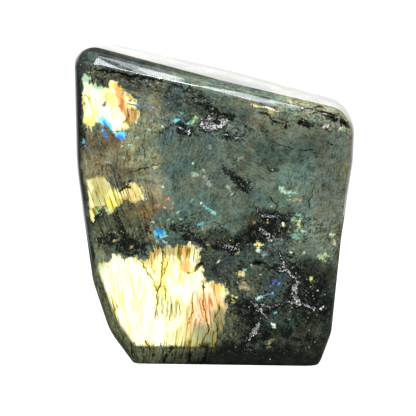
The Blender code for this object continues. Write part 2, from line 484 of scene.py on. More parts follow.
def blob(where, x, z, half_width, half_height, turn, soft):
    """1 inside an ellipse, 0 outside it; soft is the share of its size that fades."""
    along, across = along_and_across(where, x, z, turn)
    distance = np.hypot(along / half_width, across / half_height)
    return step_between(1 + soft / 2, 1 - soft / 2, distance)


def painted(colours, zones, where):
    """Colours with each zone laid over the ones before."""
    for *ellipse, strength, colour in zones:
        cover = blob(where, *ellipse)[:, None] * strength
        colours = colours + (linear(colour) - colours) * cover
    return colours


def depth_inside(where, outline):
    """Millimetres inside a closed outline, negative outside it."""
    outline = np.array(outline, float)
    nearest = np.full(len(where), 1e9)
    for a, b in zip(outline, np.roll(outline, -1, axis=0)):
        edge = b - a
        share = np.clip((where - a) @ edge / (edge @ edge), 0, 1)
        nearest = np.minimum(nearest, np.linalg.norm(where - a - share[:, None] * edge, axis=1))
    return np.where(inside_outline(where, outline), nearest, -nearest)


print("black, grey and white as light", linear((0, 128, 255)).round(3))

# %% [markdown]
# ## The ground colour
#
# Away from its flashes the stone is a cloudy grey green, with teal, brown and nearly black
# zones where the light sinks in. A flat colour would kill it, and noise alone would put the
# zones anywhere. So the zones are named ellipses whose rims are made to wander, laid over
# each other from pale to dark. The upper left of the face is one browner crystal with a
# straight border, so that one is an outline that multiplies whatever lies under it.

# %% Zones of the ground
BROWN_SIDE = [(-64, 76), (-21.6, 75), (-22.4, 90), (-22.8, 105), (-22.0, 121), (-64, 124)]
BROWN_CAST = np.array([1.19, 1.13, 1.04])
GROUND = (92, 103, 90)
FACE_ZONES = [
    # x, z, half width, half height, turn, softness, strength, colour as seen
    (-4, 92, 20, 17, 0, 0.9, 0.9, (89, 106, 96)), (2, 74, 24, 17, 20, 0.9, 0.9, (90, 107, 95)),
    (36, 84, 22, 13, 0, 0.9, 0.9, (97, 117, 103)), (50, 72, 9, 30, 4, 0.9, 0.9, (113, 120, 104)),
    (46, 62, 13, 10, 0, 0.9, 0.8, (103, 116, 99)), (28, 108, 30, 8, -14, 0.9, 0.9, (102, 107, 92)),
    (14, 98, 12, 6, 0, 0.9, 0.8, (100, 107, 92)), (-48, 96, 13, 10, 0, 0.8, 0.9, (96, 88, 70)),
    (-44, 88, 14, 6, 0, 0.8, 0.8, (124, 120, 96)), (-30, 98, 9, 13, 0, 0.8, 0.9, (134, 140, 113)),
    (-26, 116, 9, 7, 0, 0.8, 0.8, (115, 115, 98)), (-28, 79, 8, 8, 0, 0.8, 0.9, (130, 129, 106)),
    (-36, 87, 6, 3.4, 0, 0.8, 0.8, (96, 88, 68)), (-42, 127, 18, 4, -12, 0.8, 0.9, (84, 82, 66)),
    (-26, 124, 12, 5, -12, 0.8, 0.8, (92, 92, 78)), (-12, 118, 13, 6, -14, 0.8, 0.9, (62, 71, 66)),
    (6, 113, 13, 5, -14, 0.8, 0.8, (68, 75, 68)), (-8, 104, 11, 4, -10, 0.8, 0.6, (78, 88, 82)),
    (36, 100, 20, 5, -6, 0.8, 0.8, (88, 98, 86)), (32, 95, 18, 4.5, -4, 0.8, 0.9, (70, 83, 71)),
    (46, 99, 8, 3.5, -8, 0.7, 0.7, (72, 82, 70)), (44, 108, 14, 3.5, -14, 0.8, 0.8, (92, 96, 82)),
    (20, 90, 7, 7, 0, 0.9, 0.7, (92, 101, 88)), (11, 83.6, 2.8, 8, 45, 0.9, 0.7, (78, 76, 62)),
    (-5, 83, 7, 5, 0, 0.8, 0.6, (96, 98, 86)), (18, 68, 7, 8, 0, 0.8, 0.7, (76, 84, 70)),
    (-40, 64, 15, 11, 0, 0.7, 0.9, (92, 98, 76)), (-34, 68, 8, 4.4, -10, 0.7, 0.8, (104, 96, 66)),
    (-28, 65, 4.4, 8, 20, 0.7, 0.9, (124, 104, 66)), (-32.6, 61, 3.6, 5, 20, 0.8, 0.7, (104, 112, 90)),
    (-45.6, 61, 4.6, 4, 10, 0.8, 0.7, (100, 104, 78)), (-37, 56, 12, 3.6, 0, 0.7, 0.8, (70, 72, 54)),
    (-26.6, 57.4, 3, 2.6, 0, 0.8, 0.7, (140, 124, 80)), (-22, 61, 6, 7, 0, 0.8, 0.8, (100, 114, 100)),
    (-14, 60, 7, 6, 0, 0.8, 0.8, (70, 84, 72)), (-2, 57, 9, 4, 0, 0.8, 0.7, (72, 78, 66)),
    (24, 66, 12, 5, 5, 0.7, 0.9, (48, 50, 40)), (22, 60, 11, 5.5, 35, 0.6, 0.95, (32, 34, 27)),
    (32, 62, 6, 5, 0, 0.7, 0.8, (52, 56, 46)), (8, 56, 14, 3.5, -12, 0.7, 0.9, (48, 52, 43)),
    (6, 46, 15, 9, 0, 0.9, 0.9, (66, 75, 68)), (24, 48, 10, 7, 0, 0.9, 0.9, (78, 91, 82)),
    (34, 56, 8, 6, 0, 0.8, 0.7, (92, 108, 96)), (46, 54, 10, 7, 0, 0.8, 0.8, (106, 118, 101)),
    (28, 36, 9, 7, 0, 0.9, 0.9, (78, 92, 86)), (12, 34, 8, 8, 0, 0.9, 0.8, (74, 79, 68)),
    (45, 40, 10, 8, 0, 0.8, 0.9, (48, 51, 42)), (47, 30, 9, 10, 0, 0.7, 0.95, (27, 30, 24)),
    (30, 22, 12, 6, 0, 0.8, 0.9, (56, 66, 57)), (14, 22, 9, 9, 0, 0.7, 0.9, (30, 34, 29)),
    (40, 22, 9, 8, 0, 0.8, 0.8, (42, 46, 38)), (44, 13, 12, 5, 0, 0.8, 0.9, (58, 61, 48)),
    (26, 14, 8, 6, 0, 0.8, 0.8, (42, 46, 38)), (12, 8, 18, 7, 0, 0.6, 0.95, (22, 25, 24)),
    (6.6, 19, 5, 11, 0, 0.8, 0.85, (112, 122, 94)), (11, 18, 4.4, 9, 0, 0.9, 0.6, (92, 100, 80)),
    (34, 5, 16, 5, 0, 0.7, 0.9, (36, 40, 31)), (-20, 4, 26, 6, 0, 0.5, 0.95, (66, 70, 57)),
    (-44, 28, 7, 26, 16, 0.6, 0.9, (122, 126, 96)), (28, 26, 34, 26, 0, 0.7, 0.45, (30, 37, 34)),
    (27.6, 36.4, 8, 6, 20, 0.8, 0.8, (58, 72, 70)), (31, 20.6, 8, 4.4, 0, 0.8, 0.6, (52, 66, 58)),
    (18.6, 9.8, 7.4, 4.6, 10, 0.6, 0.95, (17, 20, 31)), (5.6, 45, 7, 5, 0, 0.8, 0.6, (58, 62, 66)),
    (30, 86, 30, 12, 0, 0.9, 0.35, (78, 92, 82)), (50, 80, 6, 26, 3, 0.8, 0.7, (90, 92, 78)),
    (-14, 101, 15, 11, 0, 0.9, 0.4, (66, 78, 72)), (10, 91, 14, 16, 0, 0.9, 0.3, (72, 74, 64)),
    (40, 82, 15, 9, 0, 0.9, 0.3, (118, 140, 126)), (41, 37, 10, 9, 0, 0.9, 0.3, (34, 38, 34)),
    (13, 37, 9, 9, 0, 0.9, 0.25, (112, 120, 94)), (-51.5, 49.5, 5, 4.6, 0, 0.9, 0.9, (122, 128, 100)),
    (-44, 52.4, 5, 2.4, 0, 0.9, 0.7, (60, 62, 48)),
]
EDGE_TONES_AND_PAINTED_LIGHT = [
    # the rolled edge above the face, then beside and below it; some of these zones are painted light
    # painted shade: the next two zones darken the top of the rolled edge, darkest on the left
    (-38, 137, 24, 2.6, -11, 0.8, 0.9, (22, 30, 32)),
    (-12, 131.4, 14, 2.4, -12, 0.8, 0.9, (50, 54, 42)),
    # painted reflection: a grey haze on the roll in the upper left corner
    (-36, 132.4, 18, 1.8, -11, 0.8, 0.7, (70, 76, 82)),
    (18, 124.8, 20, 2.6, -15, 0.8, 0.9, (104, 110, 92)),
    (26, 120.4, 14, 3.4, -15, 0.8, 0.9, (98, 112, 98)),
    (44, 116.6, 14, 3.6, -16, 0.7, 0.9, (150, 150, 122)),
    (40, 112.8, 14, 2.6, -16, 0.8, 0.8, (102, 114, 96)),
    (58.4, 110.4, 5, 5, 0, 0.8, 0.8, (120, 122, 96)), (22, 119, 3, 1.8, -10, 0.7, 0.9, (24, 28, 34)),
    # painted shade: the first three zones on these two lines are dark strips down the left rolled edge,
    # which turns away from the light
    (-60, 112, 2.8, 26, 0, 0.5, 0.95, (26, 30, 26)), (-58.6, 78, 2.6, 16, 4, 0.5, 0.95, (30, 34, 28)),
    (-55.4, 54, 2.6, 16, 8, 0.5, 0.95, (32, 36, 30)), (-50.4, 30, 3.4, 15, 16, 0.6, 0.9, (112, 118, 88)),
    # painted shade: the second zone on the next line is the dark band on the bevel at the foot, which
    # faces down
    (-43, 14, 4.4, 11, 34, 0.6, 0.9, (112, 118, 84)), (6, 3, 46, 6.2, 0, 0.3, 1, (30, 33, 26)),
    (-57.5, 134, 3.6, 7, 0, 0.8, 0.9, (36, 44, 42)), (-29, 4, 10, 5, 0, 0.7, 0.8, (112, 120, 90)),
    # painted highlight: the last zone on the next line is a thin pale line along the ridge of the bevel
    # at the foot
    (-14, 4.6, 10, 4.4, 0, 0.8, 0.7, (92, 98, 74)), (-16, 7.4, 16, 1.6, 0, 0.8, 0.8, (128, 130, 94)),
    (61.2, 84, 3.2, 26, 0, 0.5, 0.9, (112, 112, 88)), (57.6, 44, 3.2, 20, 4, 0.5, 0.9, (84, 86, 68)),
]
print(len(FACE_ZONES), "zones on the face and", len(EDGE_TONES_AND_PAINTED_LIGHT), "on its rolled edge")

# %% Paint the ground, with painted shade, highlight and reflection on the rolled edges


def even(colour):
    """One colour for every point of the skin."""
    return np.tile(linear(colour), (len(points), 1))


ground = painted(even(GROUND), FACE_ZONES, broad_place)
brown_side = step_between(-0.5, 0.5, depth_inside(fine_place, BROWN_SIDE))[:, None]
ground = ground * (1 + brown_side * (BROWN_CAST - 1))
ground = painted(ground, EDGE_TONES_AND_PAINTED_LIGHT, fine_place)
print("ground runs from", ground.min().round(3), "to", ground.max().round(3), "as light")

# %% [markdown]
# ## The flash patches
#
# Five patches of this face flash: one in the upper corner with a blue sliver below it, one
# at the side, a blue flake, and the great one above the foot. Their outlines are real
# shapes with corners, so an ellipse won't do, and each is a short closed line in
# millimetres. The skin stores how deep inside a patch each point lies, and the shader
# cuts the rim itself, finer than the mesh could.

# %% Outlines of the flash patches
CORNER_FLASH = [
    (-56.9, 130), (-54.1, 130.6), (-53.5, 126.2), (-52.9, 124), (-50.6, 124.3), (-48.4, 125.1),
    (-45.6, 124.3), (-44.5, 125.7), (-41.4, 125.2), (-39.1, 122.4), (-37.2, 121.3), (-35.5, 121.6),
    (-33.2, 118.5), (-32.9, 116), (-30.9, 112.4), (-31.5, 109.9), (-34.1, 107.7), (-37.2, 105.7),
    (-40, 104.5), (-43.1, 103.9), (-45.6, 106.2), (-48.7, 107.8), (-51.3, 105.8), (-53.3, 104.7),
    (-56.9, 107.2),
]
SIDE_FLASH = [
    (-55.6, 83.3), (-49.1, 84.7), (-47.2, 84.7), (-45.1, 80.3), (-42.3, 80.1), (-40.1, 78.4),
    (-37.8, 80.2), (-36.1, 82.1), (-32.7, 81.5), (-30.8, 79.6), (-29.7, 76.5), (-29.9, 74.3),
    (-34.4, 72.8), (-38.6, 73.3), (-40.6, 71.3), (-42.9, 69.6), (-45.4, 67.9), (-46.3, 70.2),
    (-47.4, 71), (-50.3, 67.3), (-53.1, 63.8), (-54.6, 64),
]
GREAT_FLASH = [
    (-52, 44.8), (-49, 46.3), (-45.9, 45.9), (-44.4, 48.7), (-43, 50.1), (-40.2, 50.1),
    (-38.5, 48.2), (-34, 48.8), (-30, 47.4), (-27.7, 48.8), (-26.3, 53.4), (-19.2, 53.7),
    (-12.9, 53.6), (-9.2, 54.8), (-5.8, 53.4), (-4.7, 52.1), (-5.2, 48.5), (-6.3, 46.3),
    (-4.3, 44.4), (-3.2, 42.3), (-2.3, 39.7), (-1.8, 37), (0.7, 38.5), (2.5, 37),
    (5.6, 37.1), (7.3, 35.8), (8.4, 33.1), (6, 29.6), (7.4, 25), (5, 19),
    (2.6, 13), (0.6, 4.5), (-34.4, 4.5), (-45.6, 22), (-52.2, 39),
]
BLUE_FLAKE = [
    (-25.6, 59.6), (-24, 60.6), (-22.8, 62.8), (-21.6, 61), (-19.8, 60.2), (-20.2, 58.4),
    (-21.2, 57.6), (-19.8, 55.4), (-22, 56.4), (-24.6, 55), (-24.2, 57.8),
]
BLUE_SLIVER = [
    (-43.2, 103.8), (-41.2, 103.4), (-38.6, 104.2), (-37.6, 102.3), (-38.4, 100.6), (-40.8, 100.6),
    (-42.3, 102.2),
]
print(len(GREAT_FLASH), "corners on the great flash")

# %% [markdown]
# ## The hues of the flashes
#
# A flash changes hue across its patch, because the thin layers change their spacing: cream
# in the middle, and gold, orange, rose and blue near the rims. A colour ramp from rim to
# middle would give tidy rings. Here each patch has one tint and a list of spots laid over
# it, in the same words as the zones of the ground. The long thin spots are bundles of
# lamellae that stay dark.

# %% Spots of the upper patches
CORNER_SPOTS = [
    # x, z, half width, half height, turn, softness, strength, colour as seen
    (-55.2, 128, 2.2, 2.6, 0, 0.9, 0.9, (126, 192, 166)),
    (-49.4, 124.2, 3.2, 1.5, 0, 0.9, 0.9, (134, 198, 164)),
    (-47.2, 120.4, 3.4, 2.8, 0, 0.9, 0.7, (214, 232, 184)),
    (-46.4, 119, 2, 0.5, 80, 0.6, 0.7, (170, 190, 120)),
    (-53.9, 118.5, 3, 0.5, -60, 0.6, 0.8, (176, 180, 96)),
    (-52.9, 110.8, 2.4, 0.5, -61, 0.6, 0.8, (200, 196, 80)),
    (-50.7, 111.8, 2, 0.4, -69, 0.6, 0.8, (206, 212, 120)),
    (-54.6, 107.8, 2.8, 3.2, 0, 0.9, 0.9, (246, 232, 120)),
    (-52, 105.6, 2, 1.8, 0, 0.9, 0.8, (238, 230, 140)),
    (-41.8, 116, 6, 0.8, -82, 0.8, 0.8, (252, 246, 196)),
    (-40, 119, 6.6, 1.8, -74, 0.6, 0.95, (218, 164, 98)),
    (-39.4, 116.4, 3.4, 0.9, -82, 0.6, 0.9, (190, 116, 58)),
    (-37.8, 117.6, 4, 0.8, -70, 0.6, 0.9, (250, 216, 146)),
    (-36.4, 120.4, 2.8, 0.7, -60, 0.6, 0.9, (226, 150, 84)),
    (-38.9, 121.9, 2.8, 0.5, -80, 0.6, 0.8, (150, 98, 54)),
    (-36, 117.6, 3, 0.7, -70, 0.6, 0.8, (252, 232, 180)),
    (-35.3, 118.2, 1.5, 0.6, 50, 0.6, 0.9, (132, 86, 46)),
    (-34, 117, 2.6, 0.6, -60, 0.6, 0.8, (214, 232, 226)),
    (-35.5, 111.4, 3.2, 3.6, 0, 0.7, 0.95, (192, 152, 100)),
    (-33.7, 111.6, 3.4, 0.6, 84, 0.6, 0.8, (150, 110, 72)),
    (-37.6, 109.6, 3, 0.6, 66, 0.6, 0.8, (140, 100, 54)),
    (-38.6, 105.4, 3.6, 1.1, 22, 0.7, 0.9, (252, 246, 204)),
    (-48.4, 109.8, 1.9, 1.7, 0, 0.8, 1, (128, 216, 240)),
    (-46.9, 108.4, 1.7, 1.3, -40, 0.6, 1, (70, 168, 212)),
    (-44.7, 106.2, 3.4, 1.1, -58, 0.7, 1, (96, 210, 248)),
    (-45.9, 106.2, 2.8, 0.6, -55, 0.6, 1, (66, 90, 176)),
    (-50.4, 107.6, 1.8, 0.9, 55, 0.7, 0.9, (156, 222, 220)),
    (-47.7, 116.2, 1.7, 0.75, 52, 0.4, 0.95, (112, 78, 58)),
]
SIDE_SPOTS = [
    (-50.8, 77.6, 5.5, 7, 0, 0.9, 0.9, (178, 174, 122)),
    (-53.8, 75, 9, 1.1, 92, 0.8, 0.8, (250, 246, 190)),
    (-43.9, 72.4, 2.8, 2.4, 0, 0.7, 0.95, (246, 236, 124)),
    (-42.8, 76.2, 3, 2.2, 0, 0.8, 0.8, (252, 250, 196)),
    (-34.6, 76.4, 3.6, 4.8, 0, 0.8, 0.9, (212, 196, 142)),
    (-38.8, 73.8, 1.8, 1.6, 0, 0.7, 0.9, (226, 182, 92)),
    (-36.6, 81.4, 2.2, 1, 20, 0.6, 0.9, (186, 216, 198)),
    (-40.4, 79.6, 1.6, 0.9, -30, 0.6, 0.9, (198, 218, 214)),
    (-49.6, 69.2, 2.4, 1.2, 50, 0.7, 0.9, (150, 200, 190)),
    (-45.9, 69.6, 2.4, 0.9, -70, 0.7, 0.9, (190, 226, 200)),
    (-54, 66.5, 4.6, 1.3, 94, 0.7, 0.9, (252, 248, 176)),
]
print(len(CORNER_SPOTS), "spots in the corner and", len(SIDE_SPOTS), "at the side")

# %% Spots of the great flash
GREAT_SPOTS = [
    (-25.8, 51.6, 3, 3.6, 0, 0.9, 0.85, (206, 164, 108)),
    (-20.6, 52.4, 4.4, 2.6, 0, 0.9, 0.75, (158, 144, 98)),
    (-15.6, 52.4, 3.6, 2.4, 0, 0.9, 0.75, (176, 168, 122)),
    (-11, 51.4, 2.2, 3.4, 0, 0.9, 0.85, (222, 170, 106)),
    (-21.6, 49.4, 0.4, 3.6, -4, 0.7, 0.7, (150, 134, 80)),
    (-18.4, 49.6, 0.35, 4.4, 3, 0.7, 0.7, (140, 126, 76)),
    (-16.4, 49, 0.35, 4, -3, 0.7, 0.6, (160, 146, 90)),
    (-14, 49.4, 0.4, 4.4, 4, 0.7, 0.7, (146, 132, 78)),
    (-12.4, 48, 0.3, 3.4, 0, 0.7, 0.6, (170, 140, 80)),
    (-26.6, 48.8, 0.35, 4, 14, 0.7, 0.6, (160, 126, 76)),
    (-6.8, 50.4, 2, 3.6, 0, 0.8, 0.9, (240, 242, 206)),
    (-11.2, 45, 2.8, 2.4, 0, 0.9, 0.85, (222, 176, 104)),
    (-29, 47.6, 3.4, 3.6, 30, 0.9, 0.6, (214, 196, 116)),
    (-38.5, 50.6, 3.6, 2, 0, 0.8, 0.9, (214, 150, 76)), (-21, 44, 5, 5, 0, 0.9, 0.5, (250, 240, 150)),
    (-49, 44.6, 2.6, 3.4, 0, 0.8, 0.7, (190, 204, 160)),
    (3, 35.6, 4.2, 2.4, -20, 0.8, 0.9, (240, 196, 92)),
    (6.8, 34, 1.8, 2.6, 30, 0.7, 0.85, (214, 230, 170)),
    (1.6, 31.6, 4.4, 2.4, -10, 0.9, 0.7, (232, 190, 124)), (0, 27, 7, 6, -8, 0.9, 0.9, (236, 214, 156)),
    (-4.5, 23, 4.4, 9, -15, 0.9, 0.45, (238, 196, 170)), (-9.4, 24, 3, 7, -6, 0.9, 0.6, (248, 228, 176)),
    (-20, 28.4, 5.4, 6, 0, 1, 0.5, (240, 232, 150)),
    (-23.6, 26.4, 0.5, 6.4, -3, 0.6, 0.8, (132, 120, 60)),
    (-21.4, 27, 0.35, 4.8, 2, 0.7, 0.7, (160, 148, 80)),
    (-19.6, 25.4, 0.4, 4.4, -2, 0.7, 0.75, (146, 136, 74)),
    (-17.6, 26.6, 0.35, 5, 3, 0.7, 0.7, (166, 154, 86)),
    (-15.8, 25.4, 0.35, 4.2, 0, 0.7, 0.7, (170, 158, 90)),
    (-13.8, 25, 0.3, 4, -3, 0.7, 0.6, (186, 170, 100)), (-20, 35, 0.4, 3, 8, 0.7, 0.7, (170, 158, 70)),
    (-13, 14, 5.5, 6, 0, 0.9, 0.45, (214, 204, 146)), (-6, 14, 6, 6, 0, 0.9, 0.6, (214, 202, 140)),
    (4.4, 22.4, 4, 4.4, 10, 0.9, 0.9, (138, 144, 106)),
    (-3.6, 14, 4.4, 5, 0, 0.9, 0.95, (150, 156, 120)), (4.6, 14, 5.6, 8, -10, 0.9, 0.95, (116, 124, 88)),
    (-7, 10, 5, 2, 0, 0.8, 0.7, (176, 170, 116)), (7, 28.4, 1.6, 3.4, 0, 0.8, 0.8, (214, 170, 140)),
    (2, 8.4, 9, 2.6, 0, 0.9, 0.9, (46, 50, 38)), (-24, 35.6, 1.6, 3.4, 0, 0.9, 0.6, (236, 218, 96)),
    (-39.6, 29.6, 1.4, 3.6, 8, 0.9, 0.6, (238, 222, 110)),
    (-20.6, 36, 2.4, 3, 0, 0.9, 0.5, (246, 232, 110)), (-29.6, 31, 0.6, 4, 4, 0.8, 0.5, (222, 214, 120)),
    (-34.6, 26, 0.6, 3.4, 6, 0.8, 0.5, (226, 220, 126)),
]
print(len(GREAT_SPOTS), "spots on the great flash")

# %% Tint and spots of each patch
BLUE_SPOTS = [
    (-22.6, 60.6, 1.6, 1.8, 20, 0.7, 0.9, (30, 124, 186)),
    (-24.6, 59.4, 1, 1, 0, 0.7, 0.9, (110, 196, 214)),
    (-20.4, 59.6, 0.8, 1.6, -20, 0.7, 0.8, (120, 190, 190)),
    (-22.4, 57.6, 0.4, 2.4, 8, 0.6, 0.7, (140, 196, 190)),
    (-22.3, 55.4, 3, 1.6, 0, 0.6, 0.9, (166, 202, 188)),
]
FLASHES = [
    (CORNER_FLASH, (245, 249, 220), CORNER_SPOTS), (SIDE_FLASH, (234, 230, 180), SIDE_SPOTS),
    (GREAT_FLASH, (252, 251, 224), GREAT_SPOTS), (BLUE_FLAKE, (60, 152, 196), BLUE_SPOTS),
    (BLUE_SLIVER, (96, 208, 244), [(-40.2, 101.2, 2.4, 1.3, 0, 0.7, 0.95, (78, 112, 222))]),
]
print(len(FLASHES), "patches")

# %% [markdown]
# ## Where a flash ends
#
# The layers of a flash all mirror in one direction, so it goes out where the polish rolls
# away from the flat: `flash_roll` is positive as long as the surface is still flat enough.
# At the foot the ground bevel cuts the great flash off along a straight level line, which
# is its second limit. Where two patches meet, a point belongs to the one it lies deeper in.

# %% Lay the flashes on the skin
ROLL_WHERE_FLASH_ENDS = 0.14
FLASH_FOOT = 9.3
FADE_AT_FOOT = 0.8
CREAM = (250, 250, 226)

spot_place = wandered(place, reach=0.7, grain=2.4, seed=140)
flash_depth, flash_tint = np.full(len(points), -50.0), even(CREAM)
flash_roll = np.minimum(ROLL_WHERE_FLASH_ENDS - behind_face, (place[:, 1] - FLASH_FOOT) * FADE_AT_FOOT)


def lay_flash(depth, roll, tints, allowed=True):
    """Hands a flash the points that lie deeper in it than in any before."""
    global flash_depth, flash_roll, flash_tint
    nearer = (depth > flash_depth) & allowed
    flash_depth, flash_roll = np.where(nearer, depth, flash_depth), np.where(nearer, roll, flash_roll)
    flash_tint = np.where(nearer[:, None], tints, flash_tint)


for outline, tint, spots in FLASHES:
    lay_flash(depth_inside(fine_place, outline) - behind_face * 2, flash_roll,
              painted(even(tint), spots, spot_place))
print("points inside a flash", int(((flash_depth > 0) & (flash_roll > 0)).sum()))

# %% [markdown]
# ## Loose flakes
#
# Between the patches the face is dusted with small flakes that caught the light singly.
# Scattered dots would look like paint splashes, so each flake is listed with its own
# place, half size, turn and colour.

